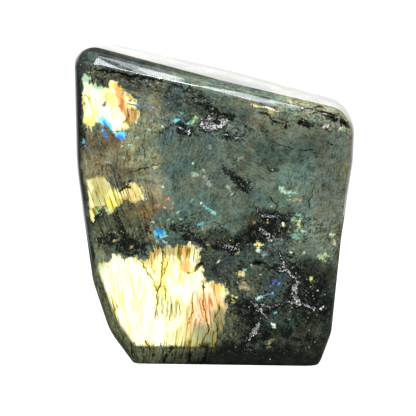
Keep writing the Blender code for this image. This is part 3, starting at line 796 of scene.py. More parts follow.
# %% The flakes, and a streak of painted highlight
WHITE, MINT, TEAL, LIME = (236, 240, 226), (186, 214, 178), (92, 176, 172), (170, 190, 110)
FLAKES = [
    # x, z, half width, half height, turn, colour as seen
    (-15.6, 109.1, 1.7, 0.9, 30, (96, 190, 208)), (-13.6, 112.4, 1, 0.8, 0, (110, 150, 122)),
    (-8.3, 108.8, 0.7, 1.5, -30, (138, 176, 124)), (-7.1, 110.5, 0.8, 0.6, 0, LIME),
    (-10.2, 107.9, 0.9, 0.6, 20, TEAL), (-8.2, 90.5, 0.7, 0.6, 0, MINT),
    (-6.9, 85.5, 2, 1.6, 30, (150, 176, 146)), (-2.3, 84.4, 1.8, 1.2, -50, (134, 136, 118)),
    (-1.2, 81.6, 1.6, 1.1, -30, (136, 138, 120)), (-3.1, 87.9, 0.7, 0.6, 0, (190, 186, 110)),
    (-21.2, 79.9, 0.6, 0.5, 0, WHITE), (-4.5, 72.6, 0.6, 0.6, 0, WHITE),
    (-13.6, 65.6, 0.7, 0.5, 0, WHITE), (-21.3, 106.4, 0.6, 0.6, 0, (210, 214, 196)),
    (-39.4, 97.5, 0.5, 0.4, 0, (190, 206, 196)), (-38.6, 92.5, 0.5, 0.4, 0, (196, 200, 180)),
    (-27.7, 105.2, 1, 0.7, 20, (120, 196, 196)), (-35.8, 99, 0.9, 0.7, 0, (140, 204, 196)),
    (-1.8, 71, 0.8, 1.8, 35, (110, 190, 182)), (1.3, 68.8, 1.4, 0.7, -30, (120, 196, 186)),
    (-4.9, 63.8, 1.7, 0.9, 10, (86, 160, 164)), (7.7, 80.3, 1, 1, 0, (148, 168, 132)),
    (9, 77, 0.8, 1, 0, (138, 160, 124)), (-3, 61, 0.9, 0.8, 0, (150, 148, 92)),
    (-1.2, 54.6, 1.2, 0.7, 0, (176, 158, 92)), (12.2, 51.4, 0.8, 0.7, 0, (196, 170, 90)),
    (3.3, 46.9, 0.8, 1.1, 0, (224, 218, 150)), (12.9, 41.7, 1.8, 1.5, 0, (206, 194, 130)),
    (14.8, 43.2, 1, 0.6, 30, (120, 190, 190)), (13.3, 35.8, 1.3, 1.3, 0, (150, 136, 98)),
    (15.6, 35.2, 1, 1.4, 20, (166, 150, 108)), (14.6, 37.2, 0.9, 0.6, 0, (190, 160, 110)),
    (10.1, 31.3, 0.8, 0.9, 0, (196, 184, 110)), (11.9, 30.9, 0.7, 0.7, 0, (206, 198, 130)),
    (9.5, 29.1, 0.8, 0.5, 0, (196, 186, 100)), (18.9, 64.9, 1, 0.7, 10, (150, 104, 58)),
    (25.3, 64.4, 0.8, 0.7, 0, (190, 164, 80)), (31.4, 63.8, 0.9, 0.8, 0, (226, 224, 176)),
    (38.6, 63.4, 0.9, 1.5, 20, (176, 192, 130)), (37.6, 61.6, 1, 0.6, 0, (140, 172, 130)),
    (37, 59, 2.6, 1.1, 10, (110, 160, 140)), (41, 60.6, 0.8, 0.7, 0, (184, 196, 164)),
    (38.5, 68.5, 1.2, 0.6, -20, (122, 178, 164)), (36.3, 66, 1.2, 0.8, 20, (120, 160, 120)),
    (21, 55, 1.5, 0.7, 20, (236, 214, 130)), (20.8, 55.2, 0.6, 1.6, 10, (240, 222, 150)),
    (20.9, 52.2, 0.9, 1.3, 0, (206, 220, 184)), (23.3, 50.4, 1.8, 1.3, 0, (104, 130, 128)),
    (49.2, 49.2, 0.5, 2, 30, (176, 192, 130)), (48.8, 49.6, 2, 0.5, 20, (168, 186, 130)),
    (47, 50, 1, 0.8, 0, (124, 154, 124)), (50.2, 51, 0.8, 0.6, 40, (180, 196, 140)),
    (51, 50.2, 0.8, 0.7, 0, (176, 192, 120)), (54, 56.3, 0.8, 1.8, 8, (160, 170, 130)),
    (53.2, 60, 1, 1, 0, (184, 196, 140)), (31.4, 79.2, 1.5, 2.2, 30, (172, 204, 172)),
    (34.2, 78.2, 1.6, 1.5, 30, (140, 186, 156)), (36.2, 77.6, 1.2, 0.6, 30, (140, 180, 160)),
    (34.6, 75.2, 1.6, 0.7, -10, (134, 134, 90)), (37.2, 74.8, 1.4, 0.7, 0, (146, 140, 92)),
    (38.4, 74.6, 1, 0.6, 0, (196, 176, 110)), (39.2, 65.2, 0.6, 1.2, -20, (206, 212, 150)),
    (44.6, 40, 0.8, 0.8, 0, (206, 196, 110)), (28.2, 38.9, 0.8, 0.5, 40, (74, 100, 160)),
    (26.2, 36.8, 1, 0.3, 30, (70, 100, 150)), (29.6, 37.8, 1.1, 0.4, 40, (84, 110, 176)),
    (27.6, 34, 1.3, 0.5, 30, (80, 160, 214)), (25, 33.2, 1, 0.4, 30, (90, 140, 190)),
    (21.8, 31, 1.6, 0.9, 30, (186, 236, 232)), (28.2, 18.9, 1.1, 0.9, 0, (226, 238, 210)),
    (28.9, 24.5, 0.8, 0.8, 0, (96, 170, 160)), (34.8, 21.8, 0.8, 0.6, 0, (90, 150, 140)),
    (26.8, 8.8, 0.7, 0.5, 0, (176, 170, 100)), (26, 10.8, 0.6, 0.7, 0, (186, 180, 110)),
    (26.4, 11.6, 3, 1.3, 10, (96, 98, 56)), (48.9, 27.1, 0.6, 0.6, 0, WHITE),
    (47.1, 35.2, 0.6, 0.5, 0, (196, 200, 180)), (-46.5, 102.1, 0.9, 0.8, 0, (64, 96, 190)),
    (-47.6, 104.4, 0.8, 1, 0, (70, 150, 206)), (-56, 99.7, 0.8, 1, 0, (96, 170, 200)),
    (-14.8, 68.2, 0.6, 0.5, 0, (150, 206, 190)), (-18.4, 66, 0.5, 0.5, 0, (120, 200, 196)),
    (-12.8, 65.4, 1, 0.4, 20, (110, 180, 170)), (-20.8, 71, 0.6, 0.4, 0, (170, 206, 190)),
    (-4.8, 64.4, 0.7, 0.4, 0, TEAL), (-16.8, 72.6, 0.5, 0.7, 0, (130, 180, 170)),
    (-8.6, 74.4, 0.6, 0.6, 0, (130, 170, 160)), (-55.1, 96.8, 0.7, 0.8, 0, (64, 84, 170)),
    (-32.1, 115.6, 1, 0.6, 0, (96, 140, 176)), (-29, 115.2, 0.9, 0.5, 0, (96, 128, 170)),
    (-25.9, 114.8, 0.8, 0.5, 0, (104, 124, 160)), (-22.6, 127.2, 0.7, 0.6, 0, (206, 206, 120)),
    (-32.4, 101.6, 0.7, 0.6, 0, (120, 180, 176)), (-24.9, 89.4, 1.9, 1, 20, (168, 170, 130)),
    (-46, 90.6, 1.6, 0.9, 0, (140, 150, 126)), (-25.6, 64.6, 0.7, 0.7, 0, MINT),
    (-20.2, 58.2, 0.7, 0.5, 0, (176, 216, 206)), (-42.6, 55.8, 1.2, 0.8, 20, (150, 140, 92)),
    (-35.6, 53.4, 1, 0.6, 0, (168, 144, 88)), (30.2, 44.6, 0.6, 0.6, 0, (150, 156, 120)),
    (22.4, 41, 0.6, 0.5, 0, (190, 206, 170)), (17.8, 45.6, 0.6, 0.6, 0, (140, 160, 140)),
    (35.2, 52, 0.8, 0.6, 0, (176, 190, 150)), (44.8, 62.4, 0.8, 0.7, 0, (140, 168, 140)),
    # painted highlight: the last flake on this line and the first on the next are a thin pale streak
    # along the rim of the top edge, where the mirrored window ends
    (41.2, 51, 0.8, 0.7, 0, (170, 188, 140)), (24.4, 114.9, 5, 0.55, -15, (255, 232, 206)),
    (20, 116, 3.4, 0.5, -17, (226, 196, 140)), (25.8, 112.9, 1.5, 1, -10, (180, 156, 70)),
    (50, 107.2, 1.8, 0.6, 12, (206, 206, 186)), (56.2, 106, 1.4, 0.7, 30, (186, 186, 150)),
    (-1, 98, 1.2, 0.9, 0, (120, 128, 112)), (12.8, 93.4, 1.4, 0.8, 30, (124, 140, 116)),
    (-17.2, 70.6, 1.2, 0.9, 20, (150, 118, 84)),
]
SMEAR_FLAKES = [(-19.6, 74.6, 2.4, 1.6, 20, (128, 96, 70)), (-23.4, 71.6, 3.4, 1.5, 15, (134, 98, 68))]
print(len(FLAKES), "flakes and", len(SMEAR_FLAKES), "brown smears")

# %% [markdown]
# ## The flakes on the skin
#
# Most flakes are hardly wider than the gap between two points of the mesh, so their shape
# can't be stored. What can be stored is each point's own place inside its nearest flake,
# counted in sizes of that flake. The shader reads the distance to the flake's heart from
# it, sharply, and roughens the rim.

# %% Lay the flakes on the skin
flake_share = np.full(len(points), -9.0)
flake_place = np.zeros((len(points), 3))
flake_tint = even(WHITE)
for x, z, half_width, half_height, turn, colour in FLAKES + SMEAR_FLAKES:
    along, across = along_and_across(fine_place, x, z, turn)
    along, across = along / half_width, across / half_height
    share = 1 - np.hypot(along, across) - behind_face * 0.2
    nearer = share > flake_share
    flake_share = np.where(nearer, share, flake_share)
    flake_place[nearer, 0], flake_place[nearer, 1] = along[nearer], across[nearer]
    flake_tint = np.where(nearer[:, None], linear(colour), flake_tint)
print("points inside a flake", int((flake_share > 0).sum()))

# %% [markdown]
# ## Cracks
#
# Fine healed cracks run between the grains and down over the bevel at the foot. They could
# be cut into the mesh, but a hairline is thinner than its triangles. So each is a short
# broken line with a width in millimetres.

# %% The cracks
CRACKS = [
    # width in mm, points of the line
    # across the great flash
    (0.3, [(-21.4, 53.6), (-21.8, 47), (-21.4, 41.5), (-22.6, 35.9), (-23.9, 33.6), (-24.1, 28.2),
           (-25.3, 21.5)]),
    (0.26, [(-21.2, 52.4), (-18.9, 45.5), (-20.3, 42.1)]),
    (0.3, [(-31.2, 47.4), (-28.9, 42.6), (-25.4, 36.9), (-24.2, 34)]),
    (0.3, [(-27.2, 48.3), (-24.3, 40.9)]), (0.25, [(-20.9, 35.3), (-20.6, 29.6)]),
    # along its rose grain
    (0.26, [(-3.5, 38.4), (-3.6, 28.1), (-2.6, 21.6), (-1, 16.2), (-3.4, 12.3), (-5.3, 7.4)]),
    (0.26, [(3.9, 28.8), (3.6, 24.8), (1.6, 21.7)]), (0.28, [(1.1, 20.8), (3.1, 17.1), (1.8, 9.9)]),
    (0.25, [(-8, 33), (-8.4, 25), (-10.2, 19)]),
    # between the flash patches and on the right
    (0.6, [(-29.3, 11.6), (-27.4, 9), (-26.1, 4)]), (0.3, [(44.1, 79.1), (43, 72), (43.4, 66.8)]),
    (0.4, [(-36, 86.6), (-28.1, 89.1), (-22.6, 90.6)]),
    (0.45, [(18, 46.2), (22.8, 46.9), (26.8, 44.2), (30, 41.6)]),
    # below the top edge
    (0.8, [(38, 108.9), (40, 109.5), (40.9, 108.1), (42.7, 106.6)]),
    (0.7, [(40, 113.9), (41.6, 114.6), (45.6, 115.6), (47.4, 115.9)]),
    (0.8, [(46, 113.6), (49.6, 113.3), (52.5, 112.2), (54.8, 110.8), (58.5, 108.8)]),
    (0.6, [(50, 111), (54.8, 109.9), (58.3, 107.6), (60, 106.2)]), (0.8, [(32.5, 107.7), (32.2, 106)]),
    (0.6, [(21.6, 113.4), (22.9, 112.9), (25.5, 110.6), (27.9, 109.2)]),
    # along the rim of the top edge
    (0.9, [(-51, 131.6), (-44.7, 130.4), (-38.1, 129.3), (-31.5, 128.5)]),
    (0.5, [(-31.5, 128.5), (-20, 125.9)]),
    # short marks
    (0.35, [(30, 98.6), (36, 96.8), (44, 97.2)]), (2, [(-9.8, 42.2), (-7, 43.8), (-4.4, 45.6)]),
    (0.8, [(-40, 78), (-38.2, 79.4), (-36.6, 80.5)]),
    # over the bevel at the foot
    (0.5, [(-35.4, 9.6), (-34.4, 3)]), (0.7, [(-21.6, 9), (-21.2, 1)]),
    (0.6, [(-18.4, 9.6), (-18, 1.5)]), (0.8, [(-15.4, 8.8), (-15.8, 1)]),
    (0.6, [(-10, 9.6), (-10.4, 1)]), (0.8, [(-5.4, 9.8), (-6, 1)]), (0.7, [(-2.2, 9.4), (-2.6, 1.5)]),
    # two faint ones
    (0.35, [(26, 76), (28.6, 72), (27.8, 68)]), (0.16, [(-29, 104), (-30.2, 98), (-29.4, 92)]),
]
print(len(CRACKS), "cracks")

# %% [markdown]
# ## Veins
#
# Where grains meet, a grey white mineral fills the seam and crumbles out of the polish. It
# follows the same kind of line, only wider.

# %% The veins
VEINS = [
    # width in mm, points of the line
    # the knot on the right
    (0.8, [(20.7, 70.4), (21.6, 68.6), (23, 67.8), (25.5, 67.9), (29.6, 68.2)]),
    (0.4, [(29.6, 68.2), (32.6, 67.4), (34, 68.6)]), (1.2, [(21.5, 62.1), (24.6, 59.2), (26.4, 56.7)]),
    (0.6, [(23.4, 60.6), (28.8, 57.6)]),
    # the waist left of it
    (0.5, [(4.6, 54.6), (7.9, 54.4), (10.6, 54.2), (11.6, 55)]),
    (0.45, [(5.2, 53.2), (8.6, 53), (11.4, 52.8)]),
    # the start of the long vein
    (0.7, [(29.8, 50.8), (31.8, 47.4)]), (0.7, [(30.8, 46.8), (33.2, 45.2)]),
    (0.8, [(30.2, 43.4), (33.6, 43.1)]), (0.9, [(31.6, 45.2), (35.6, 41.4), (37.2, 40.6)]),
    # its bend and its arm across
    (2, [(37.3, 38.6), (37, 34.3), (37.5, 30.9), (39.7, 28.9)]),
    (1.3, [(35.2, 29.7), (38, 29.6), (41, 28.6)]),
    (0.5, [(35.5, 29.6), (32.4, 28.6), (27.8, 27.7), (24, 27.3)]),
    # its fork
    (1, [(18.5, 28.9), (21.1, 26.8), (24.5, 22.6)]), (0.8, [(23.6, 28.6), (20.2, 25.2)]),
    (0.5, [(15.2, 27.2), (18.5, 28)]),
    # its tail and its low end
    (0.9, [(40.1, 29.2), (42.1, 27.9), (45.2, 26.7)]), (1.1, [(45.2, 26.9), (43.9, 25)]),
    (1.4, [(20.7, 19.1), (19.4, 15.7), (16.5, 12.6)]),
    # single crumbs
    (0.5, [(-14.2, 106.8), (-12, 105), (-9.4, 103.6)]), (0.4, [(5.6, 103.4), (8.4, 102), (12.8, 102.4)]),
    (0.5, [(16.2, 82), (17, 79)]), (0.4, [(25.2, 88.4), (28.8, 88)]),
]
print(len(VEINS), "veins")

# %% [markdown]
# ## Distance to a line
#
# The skin stores the distance to the nearest line, and the shader turns it into a hairline
# that thins and breaks up. The distance has a sign, minus on one side of the line and plus
# on the other, because a distance that only grows away from the line bends sharply on it,
# and between the points of the mesh that bend would break the hairline into dashes.

# %% Lay the lines on the skin


def beside_line(where, line):
    """Distance to a broken line in millimetres, negative on its right-hand side."""
    nearest = np.full(len(where), 1e9)
    line = np.array(line)
    for a, b in zip(line, line[1:]):
        edge = b - a
        gap = where - a
        share = np.clip(gap @ edge / (edge @ edge), 0, 1)
        distance = np.linalg.norm(gap - share[:, None] * edge, axis=1)
        side = np.where(edge[0] * gap[:, 1] - edge[1] * gap[:, 0] < 0, -1, 1)
        nearest = np.where(distance < np.abs(nearest), distance * side, nearest)
    return nearest


def nearest_line(lines):
    """For each point the signed distance to its nearest line, and that line's width."""
    side, width = np.full(len(points), 99.0), np.zeros(len(points))
    for one_width, line in lines:
        one_side = beside_line(fine_place, line)
        nearer = np.abs(one_side) - one_width < np.abs(side) - width
        side, width = np.where(nearer, one_side, side), np.where(nearer, one_width, width)
    return side, width, np.abs(side) + np.maximum(behind_face - 5, 0)


crack_side, crack_width, crack_away = nearest_line(CRACKS)
vein_side, vein_width, vein_away = nearest_line(VEINS)
print("points within a millimetre of a line", int((np.minimum(crack_away, vein_away) < 1).sum()))

# %% [markdown]
# ## Where the lamellae show
#
# The edges of the thin layers show as fine dark lines. They are strong in the fringes of
# the flashes and on the ground bevels, and faint where the flash is at its brightest. So
# the skin also stores how strongly they should show.

# %% Strength of the streaks
STREAK_ZONES = [
    # x, z, half width, half height, turn, softness, strength
    (-42, 76, 16, 10.5, 0, 0.6, 0.9), (-38, 62, 20, 8, 0, 0.8, 0.9), (-46, 114, 14, 16, 0, 0.8, 0.3),
    (-37, 115, 4.6, 9, 0, 0.7, 0.85), (-32, 30, 17, 20, 0, 0.6, 0.22), (-24, 50.5, 10, 4.6, 0, 0.6, 1),
    (-12, 50, 10, 5, 0, 0.6, 1), (-12, 42, 8, 5, 0, 0.8, 0.45),
    (-19.4, 26.8, 6.4, 5.6, 0, 0.9, 0.95), (-3, 25, 7, 14, -8, 0.7, 0.95), (2, 14, 9, 10, 0, 0.7, 1),
    (-12, 13, 8, 5, 0, 0.7, 0.6), (-18, 3, 44, 6.4, 0, 0.25, 1), (-47, 24, 5, 24, 20, 0.5, 0.9),
    (-52, 50, 6, 5, 0, 0.8, 0.9), (26, 8, 22, 7, 0, 0.7, 0.5),
]
FAINT_STREAK = 0.1
STREAK_BEHIND = 0.6

streak = np.full(len(points), FAINT_STREAK)
for *ellipse, strength in STREAK_ZONES:
    streak = streak + (strength - streak) * blob(broad_place, *ellipse)
streak = np.maximum(streak, STREAK_BEHIND * (1 - on_front))
print("points with strong streaks", int((streak > 0.5).sum()))

# %% [markdown]
# ## Broken crystal
#
# Between the calm grains the feldspar is crushed and healed again: it sparkles with specks
# and hairs, and its clouds are rougher. Where the face shows it, a zone is named. On the
# back and the walls, noise in space decides.

# %% How broken the crystal is
BROKEN_ZONES = [
    # x, z, half width, half height, turn, softness, how much the crystal is broken up
    (-40, 57, 18, 5.5, 0, 0.8, 0.9), (-22, 60, 9, 5, 0, 0.8, 0.6), (-12, 120, 18, 5, -14, 0.8, 0.9),
    (-14, 108, 12, 7, 0, 0.8, 0.7), (8, 106, 14, 6, -6, 0.8, 0.8), (10, 84, 9, 8, -50, 0.8, 0.6),
    (30, 112, 12, 4, -16, 0.8, 0.6), (46, 110, 14, 5, -16, 0.8, 0.9), (26, 62, 13, 9, 0, 0.8, 0.9),
    (8, 55, 14, 4, -10, 0.8, 0.8), (38, 62, 12, 7, 0, 0.8, 0.8), (33, 44, 8, 12, 15, 0.8, 0.9),
    (24, 28, 20, 7, 0, 0.8, 0.9), (40, 30, 12, 12, 0, 0.8, 0.7), (18, 15, 12, 9, 0, 0.8, 0.9),
    (12, 38, 10, 12, 0, 0.8, 0.6), (36, 12, 16, 9, 0, 0.8, 0.6), (-50, 104, 8, 6, 0, 0.8, 0.5),
    (-4, 60, 18, 6, -6, 0.8, 0.7), (-42, 128, 18, 5, -12, 0.8, 0.7), (52, 56, 6, 12, 0, 0.8, 0.6),
    (2, 50, 8, 7, 0, 0.8, 0.6), (18, 46, 12, 6, 0, 0.8, 0.6),
]
LEAST_BROKEN = 0.16
BROKEN_CLOUD = 13.0


def strongest(zones, where, least):
    """For each point the strongest of the zones that cover it."""
    result = np.full(len(points), least)
    for *ellipse, strength in zones:
        result = np.maximum(result, blob(where, *ellipse) * strength)
    return result


broken = strongest(BROKEN_ZONES, broad_place, LEAST_BROKEN)
elsewhere = 0.2 + 0.7 * step_between(0.5, 0.7, lattice_noise(points / BROKEN_CLOUD, 7))
broken = elsewhere + (broken - elsewhere) * on_front
print("points in broken crystal", int((broken > 0.5).sum()))

# %% [markdown]
# ## Black crystals
#
# Small black crystals of other minerals sit in the feldspar, in patches with crumbled
# rims. A black disc would look like a hole, so the skin stores only how sooty a place is,
# with very soft borders, and the shader breaks that into crystals.

# %% Where black crystals sit
SOOT_ZONES = [
    # x, z, half width, half height, turn, how much of it is black
    (46.6, 32, 17, 8.6, -80, 0.62), (17, 23.6, 8.4, 5, -46, 0.85), (27.8, 63, 6.6, 4, -40, 1),
    (33.8, 16.1, 6.4, 3, 32, 0.7), (21.7, 12.6, 6.4, 3, 34, 0.85), (18.6, 10.4, 6.6, 4.4, 16, 1),
    (7, 8.6, 5, 3.4, 10, 0.8), (13.8, 55.8, 4.2, 3.2, 20, 0.9), (34.2, 31, 6.4, 2.4, 72, 0.8),
    (18.2, 59.6, 4.6, 2.4, 80, 0.9), (-36.6, 54.2, 8.4, 2.6, -8, 0.95), (-46.6, 56.2, 5, 2.6, 10, 0.8),
    (-35.5, 50.4, 8, 1.8, -3, 0.9), (-30.6, 52.6, 4, 1.8, 20, 0.7),
    (-39.8, 62.8, 7.2, 1.5, -68, 0.85), (-50.2, 66.3, 5.6, 1.8, 44, 0.8),
    (-8.8, 58, 4.6, 1.6, -20, 1), (-0.6, 54.4, 6.4, 1.6, -22, 0.95), (-16, 61.6, 4, 1.6, 0, 0.6),
    (1.2, 113.4, 4.4, 1.5, -22, 0.9), (7.6, 111.4, 3.6, 1.6, -16, 0.9),
    (-12, 105.2, 4.6, 2.2, -34, 0.95), (8.6, 102, 5.6, 1.4, -10, 0.75),
    (11, 83.8, 8, 1.9, -43, 0.95), (16.2, 79.6, 3.2, 1.4, -10, 0.7), (33, 44.6, 7.6, 2.4, 4, 0.9),
    (8.4, 51.3, 3.6, 1.1, -12, 0.9), (20.4, 46.7, 3.2, 1.2, 16, 0.95),
    (40.6, 108.4, 3.6, 1.9, -20, 0.95), (32.8, 107.4, 1.9, 1.6, 0, 0.8),
    (54, 110.2, 5.6, 2.4, -28, 0.7), (26.2, 110.6, 4, 1.1, -44, 0.9),
    (-37, 82.6, 4, 1.1, 22, 0.9), (-37.4, 78.4, 2.6, 1, 38, 0.7), (-57.4, 102, 1.8, 6, 0, 0.8),
    (40.4, 27.5, 5.4, 2.4, 16, 0.7), (39.4, 12.6, 4, 2, 20, 0.6), (32.7, 64.9, 2.4, 1.2, 0, 0.7),
    (20.4, 71.4, 2.4, 1.3, -50, 0.7), (-38, 128.8, 16, 1.1, -10, 0.8),
    (-12, 123.4, 8, 1.4, -14, 0.6), (-6, 116.8, 7, 1.6, -16, 0.6),
    (22.4, 91.6, 4, 0.9, 14, 0.5), (24.6, 95.6, 4.4, 0.9, -6, 0.5), (-1, 83.2, 3.2, 1.6, -40, 0.5),
    (-36, 115, 1.4, 3.4, 20, 0.4), (24, 26, 3.6, 2.4, 20, 0.7),
    (-24.6, 59.6, 3.4, 1.6, -10, 0.45), (46, 48.6, 4.6, 2.2, 0, 0.35), (10, 40, 5, 5, 0, 0.4),
    (12.6, 30, 4, 4, 0, 0.55), (36, 22, 5, 2.6, 10, 0.5), (0.8, 44, 3, 3.6, 0, 0.45),
    (50.6, 98.8, 4, 2, -30, 0.45), (28, 8, 9, 3, 0, 0.6),
]
SOOT_SOFTNESS = 1.0
SOOT_CLOUD = 8.0

soot_place = wandered(place, reach=1.3, grain=2.4, seed=160)
soft_soot = [(*ellipse, SOOT_SOFTNESS, strength) for *ellipse, strength in SOOT_ZONES]
soot = strongest(soft_soot, soot_place, 0.0)
soot_elsewhere = 0.8 * step_between(0.62, 0.80, lattice_noise(points / SOOT_CLOUD, 8))
soot = soot * on_front + soot_elsewhere * (1 - on_front)
print("points in black crystals", int((soot > 0.5).sum()))

# %% [markdown]
# ## The main pit and the rose grain
#
# The widest pit, near the top, isn't round but has a torn outline, and in its middle the
# dark green rock of a deep hole shows through the pale crumbs. The hole's darkness is
# painted shade, since the skin doesn't sink that deep there. Both are stored, so that the
# shader can treat the rim and the painted shade of the hole apart. One grain of the great
# flash has rose lines where its neighbours have golden ones, and that is a soft blob of its own.

# %% The main pit, the painted shade of its hole and the rose grain
MAIN_PIT = [
    (-5.3, 107.3), (-3.6, 109.4), (-1.9, 112.3), (0.6, 111.2), (3.2, 111.5), (7.9, 110.1),
    (6, 107.6), (5, 105.8), (1.8, 105.4), (-0.9, 104.5), (-3.4, 105.2),
]
pit_inside = depth_inside(fine_place, MAIN_PIT) - behind_face * 2
pit_hole_shade = blob(fine_place, 2.2, 109.0, 1.9, 1.3, turn=-20, soft=0.3)
rose = blob(broad_place, -3.0, 25, 7.4, 12, turn=-8, soft=0.9)
print("points in the main pit", int((pit_inside > 0).sum()))

# %% [markdown]
# ## The back and the walls
#
# Nobody sees the back in a display, but a buyer turns the stone over. It's the same
# feldspar: dark green grey with cloudy zones, and a few calmer flash patches of its own.
# The walls between the two faces get their tones from 3-D noise, so nothing smears across
# them, and their flashes are simple ellipsoids.

# %% Zones and flashes of the back and the walls
BACK_GROUND, WALL_DARK, WALL_OLIVE = (70, 80, 72), (34, 38, 32), (104, 104, 84)
BACK_ZONES = [
    (-30, 110, 24, 14, -12, 0.9, 0.9, (92, 100, 84)), (20, 100, 30, 14, -10, 0.9, 0.9, (58, 68, 62)),
    (34, 70, 20, 18, 20, 0.9, 0.9, (96, 106, 92)), (-20, 76, 26, 16, 0, 0.9, 0.9, (60, 66, 56)),
    (-36, 52, 14, 20, 10, 0.9, 0.9, (102, 96, 72)), (6, 52, 20, 12, 30, 0.8, 0.9, (44, 50, 44)),
    (10, 26, 30, 14, 0, 0.9, 0.9, (84, 94, 84)), (-24, 20, 16, 12, 0, 0.8, 0.9, (50, 52, 42)),
    (40, 30, 12, 16, 0, 0.8, 0.8, (74, 76, 58)), (-4, 88, 8, 5, 20, 0.8, 0.9, (36, 40, 36)),
]
BACK_FLASHES = [
    # outline, tint, spots
    ([(8, 116), (26, 112), (44, 104), (50, 92), (44, 84), (38, 90), (30, 86), (24, 94), (12, 98),
      (2, 108)], (76, 116, 126), [
        (36, 92, 9, 8, 0, 0.9, 0.9, (160, 152, 96)), (44, 98, 7, 8, 0, 0.9, 0.8, (150, 148, 104)),
        (14, 108, 9, 7, 0, 0.9, 0.8, (60, 98, 138)),
    ]),
    ([(-44, 66), (-34, 72), (-24, 66), (-18, 56), (-24, 44), (-32, 40), (-36, 30), (-42, 36),
      (-46, 50)], (158, 156, 106), [
        (-24, 56, 6, 9, 0, 1, 0.9, (98, 126, 108)), (-36, 36, 6, 7, 0, 0.9, 0.9, (150, 112, 74)),
        (-36, 56, 5, 5, 0, 1, 0.7, (186, 184, 136)),
    ]),
    ([(14, 40), (22, 44), (32, 40), (30, 32), (20, 30)], (78, 112, 112), [
        (28, 36, 5, 4, 0, 0.8, 0.9, (120, 130, 92)),
    ]),
]
WALL_FLASHES = [
    # middle, three half sizes, colour as seen
    ((56, 34, 74), (12, 9, 14), (92, 120, 112)), ((55, 22, 40), (12, 7, 9), (130, 128, 90)),
    ((-58, 30, 100), (12, 8, 13), (126, 136, 100)), ((-50, 36, 44), (12, 7, 8), (76, 112, 128)),
    ((-20, 34, 132), (12, 7, 9), (128, 140, 116)),
]
print(len(BACK_FLASHES), "flashes on the back,", len(WALL_FLASHES), "on the walls")

# %% Paint the back and the walls
WALL_BEGINS, WALL_IS_FULL = 3.0, 11.0
FLASH_FROM_FACES, FLASH_FULL_FROM_FACES = 4, 7.0

back_place = wandered(place, reach=2.6, grain=9.0, seed=60)
back_fine = wandered(place, reach=0.9, grain=2.6, seed=80)
back_ground = painted(even(BACK_GROUND), BACK_ZONES, back_place)
cloud = lattice_noise(points / 11.0, 3) * 0.6 + lattice_noise(points / 4.6, 4) * 0.4
wall_tone = step_between(0.30, 0.72, cloud)[:, None]
wall_ground = linear(WALL_DARK) + (linear(WALL_OLIVE) - linear(WALL_DARK)) * wall_tone
from_faces = np.minimum(behind_face, behind_back)
on_wall = step_between(WALL_BEGINS, WALL_IS_FULL, from_faces)[:, None]
ground = back_ground + (ground - back_ground) * on_front[:, None]
ground = ground + (wall_ground - ground) * on_wall

for outline, tint, spots in BACK_FLASHES:
    lay_flash(depth_inside(back_fine, outline) - behind_back * 2, ROLL_WHERE_FLASH_ENDS - behind_back,
              painted(even(tint), spots, back_fine))
for middle, reach, colour in WALL_FLASHES:
    depth = (1 - np.linalg.norm((points - middle) / reach, axis=1)) * min(reach)
    lay_flash(depth, from_faces - FLASH_FULL_FROM_FACES, even(colour), from_faces > FLASH_FROM_FACES)
print("points inside a flash, all round", int(((flash_depth > 0) & (flash_roll > 0)).sum()))

# %% [markdown]
# ## Crystal grains
#
# Labradorite is a felt of thin layers, and in each crystal grain they run one way, so the
# streaks stand upright in one place and lean in another. A single direction would look
# like brushed metal. Each grain is a seed point with a direction. A point of the skin
# belongs to its nearest seed and stores its place across and along that grain, so the
# shader can draw streaks simply by stretching its noise. The grains' places are moved far
# apart, so no streak runs on into a neighbour.

# %% Grain directions
GRAINS = [
    # x, z, direction of the streaks in degrees from +x
    (-48, 114, 100), (-40, 94, 94), (-40, 76, 108), (-42, 62, 111), (-30, 66, 109), (-27, 102, 91),
    (-38, 38, 96), (-22, 32, 87), (-11, 44, 85), (3, 28, 99), (-8, 14, 82), (-46, 24, 104),
    (-8, 116, 168), (-10, 92, 64), (8, 76, 48), (-2, 62, 24), (14, 56, 118), (24, 92, 152),
    (46, 84, 77), (40, 62, 22), (24, 40, 132), (46, 40, 66), (22, 14, 142), (44, 14, 88),
    (36, 110, 163), (-30, 128, 166),
]
APART = 37.0

seeds = np.array([seed[:2] for seed in GRAINS], float)
grain_place = wandered(place, reach=2.2, grain=6.0, seed=100)
nearest_seed = np.linalg.norm(grain_place[:, None] - seeds[None], axis=2).argmin(axis=1)
turns = np.radians([seed[2] for seed in GRAINS])[nearest_seed]
along_grain = place[:, 0] * np.cos(turns) + place[:, 1] * np.sin(turns)
across_grain = place[:, 0] * np.sin(turns) - place[:, 1] * np.cos(turns)
grain = np.stack([across_grain, points[:, 1], along_grain + nearest_seed * APART], 1)
print(len(GRAINS), "grains, the largest with", np.bincount(nearest_seed).max(), "points")

# %% [markdown]
# ## The skin as an object
#
# The skin goes into metres here, once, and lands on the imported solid. What it knows about
# itself goes with it as point attributes. They could have been a painted picture, but a
# picture has a fixed sharpness and needs unwrapping, while these stay with the points.

# %% Make the stone's object


def placed(name, data):
    """A new object of this name in the scene."""
    made = bpy.data.objects.new(name, data)
    bpy.context.scene.collection.objects.link(made)
    return made


skin_mesh = bpy.data.meshes.new("stone_skin")
for vert in skin.verts:
    vert.co = Vector((np.array(vert.co) + shift) * to_solid_size * MM)
for polygon in skin.faces:
    polygon.smooth = True
skin.to_mesh(skin_mesh)
skin.free()
skin_object = placed("stone_skin", skin_mesh)
print(len(skin_mesh.vertices), "points and", len(skin_mesh.polygons), "faces")

